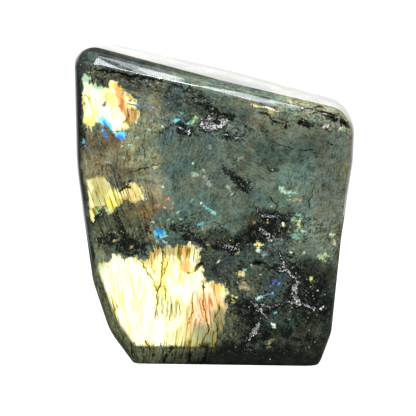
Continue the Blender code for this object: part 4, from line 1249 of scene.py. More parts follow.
# %% Store what the points know
FIELDS = {"FLOAT": "value", "FLOAT_VECTOR": "vector", "FLOAT_COLOR": "color"}
KNOWN = {
    "FLOAT_COLOR": {"ground": ground, "flash_tint": flash_tint, "flake_tint": flake_tint},
    "FLOAT_VECTOR": {"flake_place": flake_place, "grain": grain},
    "FLOAT": {
        "flash_depth": flash_depth, "flash_roll": flash_roll, "flake_share": flake_share,
        "streak": streak, "broken": broken, "soot": soot, "rose": rose,
        "pit_hole_shade": pit_hole_shade, "pit_inside": pit_inside,
        "crack_side": crack_side, "crack_away": crack_away, "crack_width": crack_width,
        "vein_side": vein_side, "vein_away": vein_away, "vein_width": vein_width,
    },
}
for kind, layers in KNOWN.items():
    for name, values in layers.items():
        if kind == "FLOAT_COLOR":
            values = np.concatenate([values, np.ones((len(values), 1))], axis=1)
        layer = skin_mesh.attributes.new(name, kind, "POINT")
        layer.data.foreach_set(FIELDS[kind], np.ascontiguousarray(values, dtype=np.float32).ravel())
print(sum(len(layers) for layers in KNOWN.values()), "layers stored")

# %% Gap between the skin and the solid
EVERY_SO_MANY = 97

solid = bpy.data.objects[NODE]
solid_tree = BVHTree.FromObject(solid, bpy.context.evaluated_depsgraph_get())
gaps = [solid_tree.find_nearest(vert.co)[3] for vert in list(skin_mesh.vertices)[::EVERY_SO_MANY]]
print("largest gap between skin and solid in mm", round(max(gaps) / MM, 2))

# %% [markdown]
# ## Wires
#
# The pits and the polish are both node trees. Written node by node they would be long and
# hard to read, so one small class stands for the output of a node. Wires add and multiply
# like numbers, and `put` adds any other node: its settings first, then its inputs.

# %% The Wire class


class Wire:
    """One output of a node. Wires can be added, subtracted, multiplied and divided."""

    def __init__(self, tree, socket=None):
        self.tree, self.socket = tree, socket

    def put(self, kind, settings=(), values=(), output=0):
        """Adds a node with settings and inputs, and returns one of its outputs."""
        node = self.tree.nodes.new(kind)
        for name, setting in dict(settings).items():
            setattr(node, name, setting)
        for name, value in dict(values).items():
            if isinstance(value, Wire):
                self.tree.links.new(value.socket, node.inputs[name])
            else:
                node.inputs[name].default_value = value
        return Wire(self.tree, node.outputs[output]) if node.outputs else None

    def maths(self, operation, *values):
        return self.put("ShaderNodeMath", {"operation": operation}, enumerate(values))

    def __add__(self, other):
        return self.maths("ADD", self, other)

    def __sub__(self, other):
        return self.maths("SUBTRACT", self, other)

    def __rsub__(self, other):
        return self.maths("SUBTRACT", other, self)

    def __mul__(self, other):
        return self.maths("MULTIPLY", self, other)

    def __truediv__(self, other):
        return self.maths("DIVIDE", self, other)

    def __abs__(self):
        return self.maths("ABSOLUTE", self)

    __radd__, __rmul__ = __add__, __mul__

    def least(self, other):
        return self.maths("MINIMUM", self, other)

    def most(self, other):
        return self.maths("MAXIMUM", self, other)

    def rise(self, low, high):
        """0 where this is below low, 1 above high, smooth between."""
        return self.put("ShaderNodeMapRange", {"interpolation_type": "SMOOTHSTEP"},
                        {"Value": self, "From Min": low, "From Max": high})

    def fall(self, low, high):
        return 1 - self.rise(low, high)

    def vectors(self, operation, *values):
        output = 1 if operation in ("LENGTH", "DISTANCE") else 0
        return self.put("ShaderNodeVectorMath", {"operation": operation}, enumerate(values), output)

    def stretched(self, x, y, z):
        return self.vectors("MULTIPLY", self, (x, y, z))

    def scaled(self, by):
        return self.put("ShaderNodeVectorMath", {"operation": "SCALE"}, {0: self, "Scale": by})

    def noise(self, scale, detail=2.0, roughness=0.5, distortion=0.0):
        return self.put("ShaderNodeTexNoise", {}, {
            "Vector": self, "Scale": scale, "Detail": detail, "Roughness": roughness,
            "Distortion": distortion})

    def wobble(self, size, *noise):
        """Noise on both sides of nought, made larger by size."""
        return (self.noise(*noise) - 0.5) * size

    def windings(self, *noise):
        """0 on the winding lines where noise crosses its middle, and more beside them."""
        return abs(self.noise(*noise) - 0.5)

    def mixed(self, other, share, blend="MIX"):
        """This colour with another laid over it."""
        colours = {6: self, 7: other if isinstance(other, Wire) else (*other, 1)}
        return self.put("ShaderNodeMix", {"data_type": "RGBA", "blend_type": blend, "clamp_factor": True},
                        {0: share, **colours}, 2)

    def tinted(self, other):
        """This colour multiplied by another."""
        return self.mixed(other, 1.0, "MULTIPLY")


print("Wire is ready")

# %% [markdown]
# ## Pits
#
# The polish breaks open where grains meet: one wide pit near the top with crumbs beside
# it, and a dark vein that wanders down the right side. The big ones are in the solid, and
# here they get their crumbly shape. A texture could only darken the places, while sunken
# points catch the light. Pits that follow a path, with crumbs scattered beside it, are
# work for Geometry Nodes.

# %% Paths of the pits
PITS = {
    # path of x, z in mm, half width, depth
    "upper_pit": ([(-2.2, 107.4), (1, 108.3), (4.4, 109.3)], 2.2, 1.2),
    "upper_trail": ([(-13.8, 105.8), (-11.8, 105), (-9.6, 104.6)], 0.6, 0.5),
    "waist_pit": ([(4.8, 53.6), (7.9, 54), (11.2, 53.2)], 0.3, 0.5),
    "vein_start": ([(22, 68.2), (25.5, 67.8), (28.6, 68.1)], 0.5, 0.6),
    "vein_knot": ([(22, 61.7), (24.6, 59.2), (26, 57.2)], 0.9, 0.9),
    "vein_bend": ([(37.3, 37.4), (37, 34.3), (37.5, 30.9), (39.2, 29)], 1.1, 0.9),
    "vein_fork": ([(19.5, 28.1), (21.1, 26.8), (23.7, 23.6)], 0.8, 0.8),
    "vein_tail": ([(42.1, 27.9), (45, 26.6)], 0.6, 0.6),
    "lower_trail": ([(20.5, 18.6), (19.4, 15.7), (17.2, 13.2)], 0.9, 0.8),
}

path_mesh = bmesh.new()
reach_layer = path_mesh.verts.layers.float.new("reach")
sink_layer = path_mesh.verts.layers.float.new("sink")
for path, reach, sink in PITS.values():
    line = []
    for x, z in path:
        vert = path_mesh.verts.new(Vector((x, float(front_y(z)), z)) + Vector(shift))
        vert[reach_layer], vert[sink_layer] = reach, sink
        line.append(vert)
    for one, next_one in zip(line, line[1:]):
        path_mesh.edges.new((one, next_one))
pit_paths = placed("pit_paths", bpy.data.meshes.new("pit_paths"))
path_mesh.to_mesh(pit_paths.data)
path_mesh.free()
pit_paths.data.transform(Matrix.Scale(MM, 4))
pit_paths.hide_render = True
print(len(PITS), "pit paths with", len(pit_paths.data.vertices), "points")

# %% [markdown]
# ## The pit tree
#
# In the tree the paths become curves, the curves become close points, each point is
# pushed aside a little and given its own size, and crumbs are copied around them. Then
# every point of the skin asks for its nearest pit point and sinks if it is within reach.
# How many millimetres inside the rim of a pit it lies is stored as `pit_edge`, so the
# material can follow it.

# %% The tree and its inputs
stone_material = bpy.data.materials.new(SLOT)
pit_tree = bpy.data.node_groups.new("Grain boundary pits", "GeometryNodeTree")
pit_tree.is_modifier = True
for name, kind in (("Skin", "Geometry"), ("Paths", "Object"), ("Material", "Material"),
                   ("Step", "Float"), ("Jitter", "Float"), ("Crumbs", "Int"),
                   ("Crumb spread", "Float"), ("Seed", "Int")):
    pit_tree.interface.new_socket(name, in_out="INPUT", socket_type=f"NodeSocket{kind}")
pit_tree.interface.new_socket("Skin", in_out="OUTPUT", socket_type="NodeSocketGeometry")
entry = pit_tree.nodes.new("NodeGroupInput")
given = {socket.name: Wire(pit_tree, socket) for socket in entry.outputs if socket.name}
step = Wire(pit_tree)
print("inputs", list(given))

# %% Helpers for the pit tree


def random_value(low, high, kind="FLOAT", offset=0):
    """A random number or vector for each element, from the tree's seed."""
    output, names = {"FLOAT": (1, (2, 3)), "FLOAT_VECTOR": (0, (0, 1))}[kind]
    return step.put("FunctionNodeRandomValue", {"data_type": kind},
                    {names[0]: low, names[1]: high, "Seed": given["Seed"] + offset}, output)


def moved_aside(shape, distance, offset):
    """Every element of the shape pushed a random way, distance millimetres at most."""
    push = random_value((-1, -1, -1), (1, 1, 1), "FLOAT_VECTOR", offset)
    push = push.scaled(distance * MM)
    return shape.put("GeometryNodeSetPosition", {}, {"Geometry": shape, "Offset": push})


def named(name):
    """What a point knows under this name."""
    return step.put("GeometryNodeInputNamedAttribute", {"data_type": "FLOAT"}, {"Name": name})


def kept_as(shape, name, value):
    """The same shape, whose points now know this value."""
    return shape.put("GeometryNodeStoreNamedAttribute", {"data_type": "FLOAT", "domain": "POINT"},
                     {"Geometry": shape, "Name": name, "Value": value})


print("helpers for the pit tree are ready")

# %% Pit points along the paths, and crumbs beside them
SIZE_ALONG_PATH, SIZE_OF_CRUMB = (0.7, 1.1), (0.12, 0.5)
CRUMB_DEPTH = 0.35

paths = step.put("GeometryNodeObjectInfo", {"transform_space": "ORIGINAL"}, {"Object": given["Paths"]}, 4)
curves = step.put("GeometryNodeMeshToCurve", {}, {"Mesh": paths})
curves = step.put("GeometryNodeResampleCurve", {"mode": "LENGTH"},
                  {"Curve": curves, "Length": given["Step"] * MM})
along_paths = step.put("GeometryNodeCurveToPoints", {"mode": "EVALUATED"}, {"Curve": curves})
along_paths = moved_aside(along_paths, given["Jitter"], 1)
along_paths = kept_as(along_paths, "reach", named("reach") * random_value(*SIZE_ALONG_PATH, offset=2))
crumbs = step.put("GeometryNodeDuplicateElements", {"domain": "POINT"},
                  {"Geometry": along_paths, "Amount": given["Crumbs"]})
crumbs = moved_aside(crumbs, given["Crumb spread"], 3)
crumbs = kept_as(crumbs, "reach", random_value(*SIZE_OF_CRUMB, offset=4))
crumbs = kept_as(crumbs, "sink", CRUMB_DEPTH)
print(len(pit_tree.nodes), "nodes so far")

# %% Sink the skin
NOT_IN_A_PIT = -9.0

here = step.put("GeometryNodeInputPosition")
in_mm = here.scaled(1 / MM)
rim_noise = in_mm.wobble(2.2, 0.9, 3.0, 0.6).least(0.5)
bottom_noise = in_mm.noise(1.6, 3.0, 0.7) * 1.1 + 0.45


def edge_and_sink(pit_points):
    """Millimetres inside the nearest of these points' rims, and how far the skin sinks."""
    nearest = step.put("GeometryNodeSampleNearest", {"domain": "POINT"}, {"Geometry": pit_points})

    def found(value, kind="FLOAT"):
        return step.put("GeometryNodeSampleIndex", {"data_type": kind, "domain": "POINT"},
                        {"Geometry": pit_points, "Value": value, "Index": nearest})

    away = step.vectors("DISTANCE", here, found(here, "FLOAT_VECTOR")) / MM
    edge = found(named("reach")) - away + rim_noise
    return edge, edge.rise(0, 0.9) * found(named("sink")) * bottom_noise


path_edge, path_sink = edge_and_sink(along_paths)
crumb_edge, crumb_sink = edge_and_sink(crumbs)
pit_edge, sunk = path_edge.most(crumb_edge), path_sink.most(crumb_sink)
inward = step.put("GeometryNodeInputNormal").scaled(sunk * -MM)
shape = kept_as(given["Skin"], "pit_edge", pit_edge.most(NOT_IN_A_PIT))
shape = step.put("GeometryNodeSetPosition", {}, {"Geometry": shape, "Offset": inward})
shape = step.put("GeometryNodeSetMaterial", {}, {"Geometry": shape, "Material": given["Material"]})
shape = step.put("GeometryNodeRealizeInstances", {}, {"Geometry": shape})
step.put("NodeGroupOutput", {}, {"Skin": shape})
print(len(pit_tree.nodes), "nodes in the pit tree")

# %% [markdown]
# ## From the tree to a plain mesh
#
# The tree runs as a modifier, whose inputs are set here in millimetres. The export wants
# plain meshes, so the result is taken out as one, and the skin and the paths, which were
# only tools, are thrown away.

# %% Run the tree
settings = {"Paths": pit_paths, "Material": stone_material, "Step": 0.7, "Jitter": 0.3,
            "Crumbs": 2, "Crumb spread": 2.2, "Seed": 5}

modifier = skin_object.modifiers.new("Pits", "NODES")
modifier.node_group = pit_tree
for item in pit_tree.interface.items_tree:
    if item.in_out == "INPUT" and item.name in settings:
        modifier[item.identifier] = settings[item.name]

evaluated = skin_object.evaluated_get(bpy.context.evaluated_depsgraph_get())
stone_mesh = bpy.data.meshes.new_from_object(
    evaluated, preserve_all_data_layers=True, depsgraph=bpy.context.evaluated_depsgraph_get())
stone_mesh.name = "polished_stone"
stone = placed("polished_stone", stone_mesh)
for helper in (skin_object, pit_paths):
    bpy.data.objects.remove(helper)
edges = np.zeros(len(stone_mesh.vertices), dtype=np.float32)
stone_mesh.attributes["pit_edge"].data.foreach_get("value", edges)
print(len(stone_mesh.polygons), "faces,", int((edges > 0).sum()), "points inside a pit")

# %% [markdown]
# ## The material: the ground
#
# The material is built in layers, from the deepest up to the polish, and every layer is a
# mask and a colour. The masks come from what the points know, roughened by noise in the
# shader, so the rims stay crisp however close the camera comes. Places are in millimetres
# on the stone itself, moved by a small slide that keeps the noise where the zones expect
# it. The first layer is the painted ground, made cloudy, felted and, here and there,
# warmer or bluer. On the rolled edges that ground also holds painted shade, painted
# highlight and painted reflection.

# %% Places and ground tones
PATTERN_SLIDE = (0.646, 0.0, 0.0)
DEPTH_OF_COLOUR = 0.84
WARM, COOL, BLUISH = (1.10, 1.00, 0.86), (0.91, 1.01, 1.05), (0.80, 0.96, 1.26)

stone_material.use_nodes = True
shader_tree = stone_material.node_tree
shader_tree.nodes.clear()
begin = Wire(shader_tree)


def stored(name, output="Fac"):
    """What the points know under this name: a number, a vector or a colour."""
    output = {"Color": 0, "Vector": 1, "Fac": 2}[output]
    return begin.put("ShaderNodeAttribute", {"attribute_name": name}, {}, output)


where = begin.put("ShaderNodeTexCoord", output="Object").stretched(1 / MM, 1 / MM, 1 / MM)
where = begin.vectors("ADD", where, PATTERN_SLIDE)
other_place = begin.vectors("ADD", where, (31, 7, 13))
fibre, how_broken = stored("grain", "Vector"), stored("broken")
clouds = where.noise(0.075, 5.0, 0.55) - 0.5
mottle = where.noise(0.30, 4.0, 0.62, 0.5) - 0.5
felt = fibre.stretched(1, 0.6, 0.30).noise(1.25, 3.0, 0.65, 0.4) - 0.5
dust = where.noise(1.2, 2.0, 0.7) - 0.5
tone = 1 + clouds * 1.6 + mottle * (1.1 + how_broken * 1.8) + felt * (1.7 + how_broken * 2.4)
tone = (tone + dust * (1.0 + how_broken * 5.0)).most(0.08) * DEPTH_OF_COLOUR
ground_colour = stored("ground", "Color")
warm_share = other_place.noise(0.17, 4.0, 0.6).rise(0.38, 0.62)
blue_share = other_place.noise(0.10, 4.0, 0.65, 0.4).rise(0.56, 0.70) * 0.6
colour = ground_colour.tinted(COOL).mixed(ground_colour.tinted(WARM), warm_share)
colour = colour.mixed(ground_colour.tinted(BLUISH), blue_share)
colour = colour.tinted(begin.put("ShaderNodeCombineXYZ", {}, {0: tone, 1: tone, 2: tone}))
print(len(shader_tree.nodes), "nodes for the ground")

# %% [markdown]
# ## The material: wisps and streaks
#
# Dark wisps drift through the stone, and the edges of the lamellae show as fine parallel
# lines along each grain. A wave texture would draw them like a ruler. Noise crosses its
# middle value on thin winding lines instead, and stretched along the grain these become
# streaks that start, run and fade.

# %% Wisps and streaks
BLACK = (0.004, 0.005, 0.004)

wisps = fibre.stretched(1, 0.8, 0.7).windings(0.30, 5.0, 0.68, 0.8).fall(0.004, 0.020)
wisps = wisps * other_place.noise(0.14, 3.0, 0.6).rise(0.50, 0.60)
colour = colour.mixed(BLACK, wisps * 0.85)
lines = fibre.stretched(1, 0.5, 0.05).windings(0.42, 2.0, 0.5, 0.25).fall(0.012, 0.036)
fine_lines = fibre.stretched(1, 0.5, 0.06).windings(1.25, 2.0, 0.5, 0.2).fall(0.012, 0.05)
line_patches = fibre.stretched(1, 0.5, 0.3).noise(0.28, 2.0, 0.5).rise(0.34, 0.60)
streaks = (lines.most(fine_lines * 0.7 * line_patches) * stored("streak")).least(1.0)
colour = colour.mixed(BLACK, streaks * 0.75)
print(len(shader_tree.nodes), "nodes with the streaks")

# %% [markdown]
# ## The material: black crystals, hairs and specks
#
# Where the skin is sooty, a rubble of coarse noise decides which bits are black, so the
# crystals get torn rims. Broken crystal also has dark and pale hairs, and it sparkles. The
# specks are Voronoi cells: a few cells are picked at random, and only their hearts light
# up. One kind of dot would look like paint, so several kinds are laid over each other.

# %% Black crystals and hairs
PALE_HAIR = (0.26, 0.29, 0.24)

rubble = where.wobble(4.6, 0.80, 4.0, 0.80, 0.6)
sooty = stored("soot")
black_crystal = (sooty + rubble * (0.5 + sooty * 0.5) + (how_broken - 0.5) * 0.16).rise(0.44, 0.62)
colour = colour.mixed(BLACK, black_crystal * 0.93)
hairs = other_place.windings(0.34, 5.0, 0.75, 0.5).fall(0.006, 0.020)
hairs = hairs * (where.noise(0.2, 2.0, 0.5).rise(0.44, 0.56) * (how_broken + 0.1))
colour = colour.mixed(BLACK, hairs * 0.9)
pale_hairs = where.windings(0.50, 5.0, 0.75, 1.0).fall(0.004, 0.016)
pale_hairs = pale_hairs * how_broken * 0.7 * other_place.noise(0.3, 2.0, 0.5).rise(0.5, 0.6)
colour = colour.mixed(PALE_HAIR, pale_hairs)
print(len(shader_tree.nodes), "nodes with black crystals and hairs")

# %% Specks
SPECKS = [
    # cells per mm, size, rarity, seed, colour as light, strength
    (1.0, 0.44, 0.92, 3.0, (0.26, 0.29, 0.14), how_broken),
    (0.55, 0.36, 0.94, 11.0, (0.10, 0.26, 0.23), how_broken),
    (0.62, 0.26, 0.955, 19.0, (0.60, 0.62, 0.40), how_broken),
    (0.50, 0.24, 0.975, 29.0, (0.50, 0.34, 0.10), how_broken),
    (0.30, 0.12, 0.93, 37.0, (0.66, 0.70, 0.54), 0.9),
]


def specks(scale, size, rarity, seed):
    """Small bright cells: 1 at the heart of a few cells picked at random."""
    cells = {"Vector": begin.vectors("ADD", where, (seed, seed * 2.3, seed * 1.7)), "Scale": scale}
    distance = begin.put("ShaderNodeTexVoronoi", {"feature": "F1"}, cells, "Distance")
    chosen = begin.put("ShaderNodeTexVoronoi", {"feature": "F1"}, cells, "Color")
    chosen = begin.put("ShaderNodeSeparateColor", {}, {0: chosen}, "Red")
    return distance.fall(size * 0.4, size) * chosen.rise(rarity, rarity + 0.04)


for *cells, tint, strength in SPECKS:
    colour = colour.mixed(tint, specks(*cells) * strength)
print(len(SPECKS), "kinds of specks")

# %% [markdown]
# ## The material: the flash
#
# The flash is made of lamellae. Its brightness is the patch's own tint, more golden in
# drifting bands and at the rim, where the layers thin out, and dimmed along the streaks.
# The blue patches have no gold, so those layers first ask whether a patch is more blue
# than red. Its rim is torn by noise and by teeth along the grain.

# %% Mask and tint of the flash
FLASH_RIM, GOLDEN = (0.42, 0.34, 0.10), (1.0, 0.94, 0.52)

teeth = fibre.stretched(1, 1, 0.16).wobble(5.0, 0.85, 3.0, 0.6)
ragged_edge = where.wobble(5.5, 0.36, 4.0, 0.65) + teeth
flash_reach = stored("flash_depth") + ragged_edge.least(1.6)
on_flat = (stored("flash_roll") + dust * 0.3).rise(-1.0, ROLL_WHERE_FLASH_ENDS)
flash_mask = flash_reach.rise(-0.3, 0.4) * on_flat * on_flat
flash_colour = stored("flash_tint", "Color")
red_part, blue_part = (begin.put("ShaderNodeSeparateColor", {}, {0: flash_colour}, part)
                       for part in ("Red", "Blue"))
not_blue = (blue_part - red_part).fall(0.05, 0.25)
flash_colour = flash_colour.mixed(FLASH_RIM, flash_reach.fall(0.2, 2.2) * 0.5 * not_blue)
bands = fibre.stretched(1, 0.6, 0.3).noise(0.30, 4.0, 0.6).rise(0.54, 0.64)
flash_colour = flash_colour.mixed(flash_colour.tinted(GOLDEN), bands * 0.55 * not_blue)
print(len(shader_tree.nodes), "nodes with the flash")

# %% Lamellae of the flash
SOFT_GOLD, SOFT_ROSE = (0.92, 0.80, 0.28), (0.96, 0.66, 0.50)
DEEP_GOLD, DEEP_ROSE = (0.28, 0.23, 0.06), (0.62, 0.34, 0.20)

in_rose = stored("rose")
soft_line = flash_colour.tinted(SOFT_GOLD).mixed(flash_colour.tinted(SOFT_ROSE), in_rose)
deep_line = flash_colour.tinted(DEEP_GOLD).mixed(flash_colour.tinted(DEEP_ROSE), in_rose)
between = fibre.stretched(1, 0.5, 0.08).noise(0.75, 4.0, 0.65)
shade = between.rise(0.50, 0.66) * (stored("streak") + 0.06)
shade = (shade + streaks.rise(0.02, 0.35)).least(1.0)
flash_colour = flash_colour.mixed(soft_line, shade * not_blue)
flash_colour = flash_colour.mixed(deep_line, streaks.rise(0.25, 0.9))
colour = colour.mixed(flash_colour, flash_mask)
print(len(shader_tree.nodes), "nodes with the lamellae")

# %% [markdown]
# ## The material: flakes and cracks
#
# A flake is bright in its middle, torn at its rim and broken up inside. A crack is a dark
# hairline, and where it crosses a flash, a thin golden glow lies beside it, because the
# lamellae have lifted there.

# %% Flakes and cracks
FLAKE_HEART = (0.92, 0.94, 0.80)
CRACK_GLOW, CRACK_DARK = (1.0, 0.90, 0.34), (0.07, 0.055, 0.02)

flake_distance = begin.vectors("LENGTH", stored("flake_place", "Vector"))
flake_depth = 1 - flake_distance + where.wobble(3.6, 1.1, 4.0, 0.75)
flake_mask = flake_depth.rise(-0.1, 0.45) * stored("flake_share").rise(-1.2, -0.8)
flake_bright = (0.9 + where.wobble(4.5, 1.3, 2.0, 0.7)).least(1.0).most(0.2)
flake_colour = stored("flake_tint", "Color").mixed(FLAKE_HEART, flake_depth.rise(0.5, 1.6) * 0.5)
colour = colour.mixed(flake_colour, flake_mask * flake_bright)

jagged = where.wobble(1.1, 0.5, 3.0, 0.6)
crack_core = abs(stored("crack_side") + jagged) - stored("crack_width") * 0.5
crack_mask = crack_core.fall(-0.05, 0.22) * stored("crack_away").fall(0.8, 1.3)
crack_mask = crack_mask * where.noise(0.25, 2.0, 0.5).rise(0.30, 0.46)
beside_crack = crack_core.fall(0.0, 1.0) * stored("crack_away").fall(0.9, 2.0) * flash_mask
colour = colour.mixed(colour.tinted(CRACK_GLOW), beside_crack * 0.7)
colour = colour.mixed(colour.tinted(CRACK_DARK), crack_mask * 0.95)
print(len(shader_tree.nodes), "nodes with flakes and cracks")

# %% [markdown]
# ## The material: pits and veins
#
# In a pit the rough mineral shows: grey white sugar with black crumbs in a lace of thin
# walls, dull instead of glossy, with a dark halo round it. The sunken pits, the veins and
# the main pit each bring their own distance to a rim, and the largest of the three wins.

# %% Pits and veins
PIT_BLACK, PIT_WHITE, PIT_HOLE_SHADE = (0.008, 0.008, 0.008), (0.72, 0.72, 0.69), (0.016, 0.026, 0.023)

in_pits = stored("pit_edge") + where.wobble(1.6, 1.4, 3.0, 0.6)
vein_wander = where.wobble(1.6, 0.9, 4.0, 0.75)
in_veins = stored("vein_width") * 0.5 - abs(stored("vein_side") + vein_wander)
in_veins = in_veins + where.wobble(1.2, 1.8, 2.0, 0.6, 0.4) - stored("vein_away").rise(1.2, 1.8) * 3
in_main_pit = stored("pit_inside") + where.wobble(2.4, 1.1, 3.0, 0.7, 0.4)
in_any_pit = in_pits.most(in_veins).most(in_main_pit)
pit_mask = in_any_pit.rise(-0.1, 0.25)
colour = colour.mixed(BLACK, (in_any_pit + rubble * 0.9).rise(-1.3, -0.3) * 0.8)
lace = where.windings(0.95, 2.0, 0.5, 0.7).fall(0.032, 0.062)
sugar = lace.most(where.noise(1.35, 2.0, 0.6).rise(0.58, 0.66))
fresh = where.noise(0.45, 2.0, 0.6).rise(0.36, 0.56).most(stored("pit_inside").rise(0.0, 0.6) * 0.8)
sugar = sugar * (fresh * 0.75 + 0.25)
pit_colour = begin.put("ShaderNodeMix", {"data_type": "RGBA"}, {
    0: sugar, 6: (*PIT_BLACK, 1), 7: (*PIT_WHITE, 1)}, 2)
# painted shade: the deep hole in the middle of the main pit is painted nearly black green, over the dark
# rock
pit_colour = pit_colour.mixed(PIT_HOLE_SHADE, (stored("pit_hole_shade") + dust * 0.6).rise(0.35, 0.6))
colour = colour.mixed(pit_colour, pit_mask)
print(len(shader_tree.nodes), "nodes with pits and veins")

# %% [markdown]
# ## The material: the polish
#
# The polish is a clear coat, which mirrors the room sharply while the stone under it stays
# soft. Its weight drops to nothing in the pits, and a faint waviness keeps the mirror from
# being perfect. A low roughness without a coat couldn't do both.

# %% Polish
waviness = where.noise(0.05, 2.0, 0.5) * 0.030 + where.noise(0.4, 1.0, 0.5) * 0.0012
relief = waviness - crack_mask * 0.02 - pit_mask * (1 - sugar) * 0.25
bumped = begin.put("ShaderNodeBump", {}, {"Strength": 1.0, "Distance": MM, "Height": relief})
surface = begin.put("ShaderNodeBsdfPrincipled", {}, {
    "Base Color": colour, "Roughness": pit_mask * 0.4 + 0.42, "Coat Weight": 1 - pit_mask,
    "Normal": bumped, "IOR": 1.45, "Specular IOR Level": 0.0, "Coat Roughness": 0.04, "Coat IOR": 1.33})
begin.put("ShaderNodeOutputMaterial", {}, {0: surface})
print(len(shader_tree.nodes), "nodes in the stone's material")

# %% [markdown]
# ## The floor
#
# The stone stands on a plain white sweep. To the eye it's white, but a white floor would
# also light the stone from below and show in its polish, so the floor has three tones: one
# for the camera, a darker one that lights the stone, and the darkest for the polish.

# %% Floor
FLOOR_FRONT, FLOOR_BACK, FLOOR_SIDE = 140.0, 320.0, 190.0
FLOOR_GLOW = 0.88
FLOOR_TONE, FLOOR_TONE_IN_POLISH = 0.34, 0.10

floor_mesh = bpy.data.meshes.new("floor")
floor_corners = ((-FLOOR_SIDE, -FLOOR_FRONT), (FLOOR_SIDE, -FLOOR_FRONT),
                 (FLOOR_SIDE, FLOOR_BACK), (-FLOOR_SIDE, FLOOR_BACK))
floor_mesh.from_pydata([(x * MM, y * MM, 0) for x, y in floor_corners], [], [(0, 1, 2, 3)])
floor = placed("floor", floor_mesh)
floor_material = bpy.data.materials.new("white_sweep")
floor_material.use_nodes = True
floor_material.node_tree.nodes.clear()
floor_wire = Wire(floor_material.node_tree)
seen_directly = floor_wire.put("ShaderNodeLightPath", output="Is Camera Ray")
mirrored = floor_wire.put("ShaderNodeLightPath", output="Is Glossy Ray")
paint = floor_wire.put("ShaderNodeBsdfPrincipled", {}, {
    "Base Color": mirrored * (FLOOR_TONE_IN_POLISH - FLOOR_TONE) + FLOOR_TONE, "Roughness": 0.8,
    "Specular IOR Level": 0.0, "Emission Color": seen_directly * FLOOR_GLOW, "Emission Strength": 1.0})
floor_wire.put("ShaderNodeOutputMaterial", {}, {0: paint})
floor_mesh.materials.append(floor_material)
print("floor of", FLOOR_SIDE * 2, "by", FLOOR_FRONT + FLOOR_BACK, "mm")

# %% [markdown]
# ## The room
#
# Polished faces show what they mirror, so the light is built from what each face should
# see. The flat front leans back a little and mirrors a dark part of the room, which keeps
# it deep, and the ledge behind the top edge mirrors the bright upper part of the wall. An
# evenly lit room would lay a grey veil over everything, so the world's brightness depends
# on the direction, and the camera alone sees it as plain white.

# %% Room
BACK_GLOW, FRONT_GLOW, LEFT_GLOW, RIGHT_GLOW, ZENITH_GLOW = 1.62, 0.12, 0.15, 0.5, 0.14
HIGH_WALL_GLOW = 1.8
BACKDROP_GLOW = 1.05

world = bpy.data.worlds.new("studio")
bpy.context.scene.world = world
world.use_nodes = True
world.node_tree.nodes.clear()
room = Wire(world.node_tree)
facing = room.put("ShaderNodeTexCoord", output="Generated")
right, away_from_us, up = (room.put("ShaderNodeSeparateXYZ", {}, {0: facing}, part) for part in range(3))
glow = FRONT_GLOW + right.rise(0.3, 0.9) * (RIGHT_GLOW - FRONT_GLOW)
glow = glow + right.fall(-0.9, -0.3) * (LEFT_GLOW - FRONT_GLOW)
glow = glow + away_from_us.rise(0.1, 0.8) * (BACK_GLOW - FRONT_GLOW)
glow = glow + away_from_us.rise(0.3, 0.8) * up.rise(0.10, 0.40) * HIGH_WALL_GLOW
glow = glow + up.rise(0.42, 0.55) * (ZENITH_GLOW - glow)
glow = glow + room.put("ShaderNodeLightPath", output="Is Camera Ray") * (BACKDROP_GLOW - glow)
background = room.put("ShaderNodeBackground", {}, {"Color": (1, 1, 1, 1), "Strength": glow})
room.put("ShaderNodeOutputWorld", {}, {0: background})
print(len(world.node_tree.nodes), "nodes in the room")

# %% [markdown]
# ## The lights
#
# The rolled top edge mirrors a window, which follows the bend of the edge, so it's a chain
# of panes with their own brightness rather than one strip. Two large softboxes fill the
# front from the left and the right, and one overhead lights the top. The left one stays
# out of the polish, where it would show as a grey triangle in the corner.

# %% Helpers for lights
UPPER_EDGE = Vector((0.0, -20.0, 125.0)) * MM


def way(azimuth, elevation):
    """A direction away from the stone: azimuth 0 is the front, 90 the right."""
    turn, climb = math.radians(azimuth), math.radians(elevation)
    return Vector((math.sin(turn) * math.cos(climb), -math.cos(turn) * math.cos(climb), math.sin(climb)))


def toward(azimuth, elevation, distance):
    """A place that far from the stone's upper edge."""
    return UPPER_EDGE + way(azimuth, elevation) * distance * MM


def softbox(name, one_end, other_end, width, radiance, colour=(1, 1, 1), in_polish=True):
    """A rectangular area light between two places, turned to face the stone."""
    middle, along = (one_end + other_end) / 2, other_end - one_end
    behind = (middle - UPPER_EDGE).normalized()
    across = behind.cross(along).normalized()
    light = bpy.data.lights.new(name, "AREA")
    light.shape = "RECTANGLE"
    light.size, light.size_y = along.length, width * MM
    light.energy = radiance * math.pi * light.size * light.size_y
    light.color = colour
    lamp = placed(name, light)
    lamp.visible_glossy = in_polish
    turn = Matrix((across.cross(behind), across, behind)).transposed()
    lamp.matrix_world = Matrix.Translation(middle) @ turn.to_4x4()


print("up to the right is", [round(v, 2) for v in way(90, 45)])

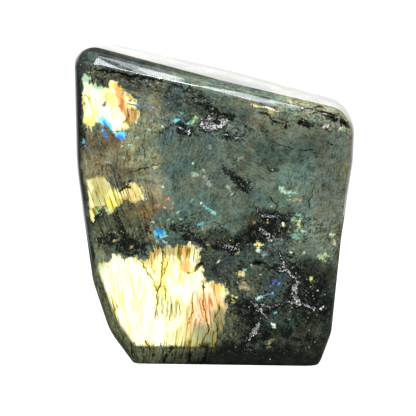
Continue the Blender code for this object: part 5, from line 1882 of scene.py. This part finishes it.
# %% Window and softboxes
WINDOW_PANES = [
    # azimuth and elevation of one end, then of the other, width in mm, radiance
    (-32, 39, -20, 46, 80, 2.6), (-20, 46, 4, 56.5, 120, 34), (4, 55, 24, 68.5, 24, 52),
    (6, 62, 28, 72, 130, 14), (17, 70, 35, 62, 140, 20), (31, 64, 30, 58, 100, 9),
]
WINDOW_TINT = (0.90, 0.95, 1.0)
WINDOW_DISTANCE, FILL_DISTANCE, OVERHEAD_DISTANCE = 700, 1200, 1400

for *ends, width, radiance in WINDOW_PANES:
    softbox("window", toward(*ends[:2], WINDOW_DISTANCE), toward(*ends[2:], WINDOW_DISTANCE),
            width, radiance, WINDOW_TINT)
softbox("left_fill", toward(-50, 40, FILL_DISTANCE), toward(-20, 40, FILL_DISTANCE), 500, 14.0,
        in_polish=False)
softbox("right_fill", toward(25, 40, FILL_DISTANCE), toward(50, 40, FILL_DISTANCE), 400, 7.0)
softbox("overhead", toward(165, 80, OVERHEAD_DISTANCE), toward(15, 80, OVERHEAD_DISTANCE), 1500, 2.3)
print(len(WINDOW_PANES), "panes and three softboxes")

# %% [markdown]
# ## The camera
#
# A long lens from some way off keeps upright edges nearly parallel, as in a product shot.
# It looks from a little above, so the ledge on top shows, and the standard view transform
# leaves the tones as they were set.

# %% Camera
LOOKED_AT = Vector((-3.45, 0.0, 66.6)) * MM
CAMERA_AZIMUTH, CAMERA_ELEVATION, CAMERA_DISTANCE = 3.0, 10.0, 788.0
LENS, SENSOR = 150.0, 36.0

camera_data = bpy.data.cameras.new("camera")
camera_data.lens, camera_data.sensor_width = LENS, SENSOR
camera_data.clip_start = 0.01
camera = placed("camera", camera_data)
bpy.context.scene.camera = camera
toward_camera = way(CAMERA_AZIMUTH, CAMERA_ELEVATION)
camera.location = LOOKED_AT + toward_camera * CAMERA_DISTANCE * MM
camera.rotation_euler = (-toward_camera).to_track_quat("-Z", "Y").to_euler()
bpy.context.scene.view_settings.view_transform = "Standard"
bpy.context.scene.view_settings.look = "None"
print("camera at", [round(v, 3) for v in camera.location])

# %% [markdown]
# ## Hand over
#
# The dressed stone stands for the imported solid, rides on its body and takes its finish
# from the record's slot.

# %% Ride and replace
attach(stone, BODY)
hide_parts(NODE)
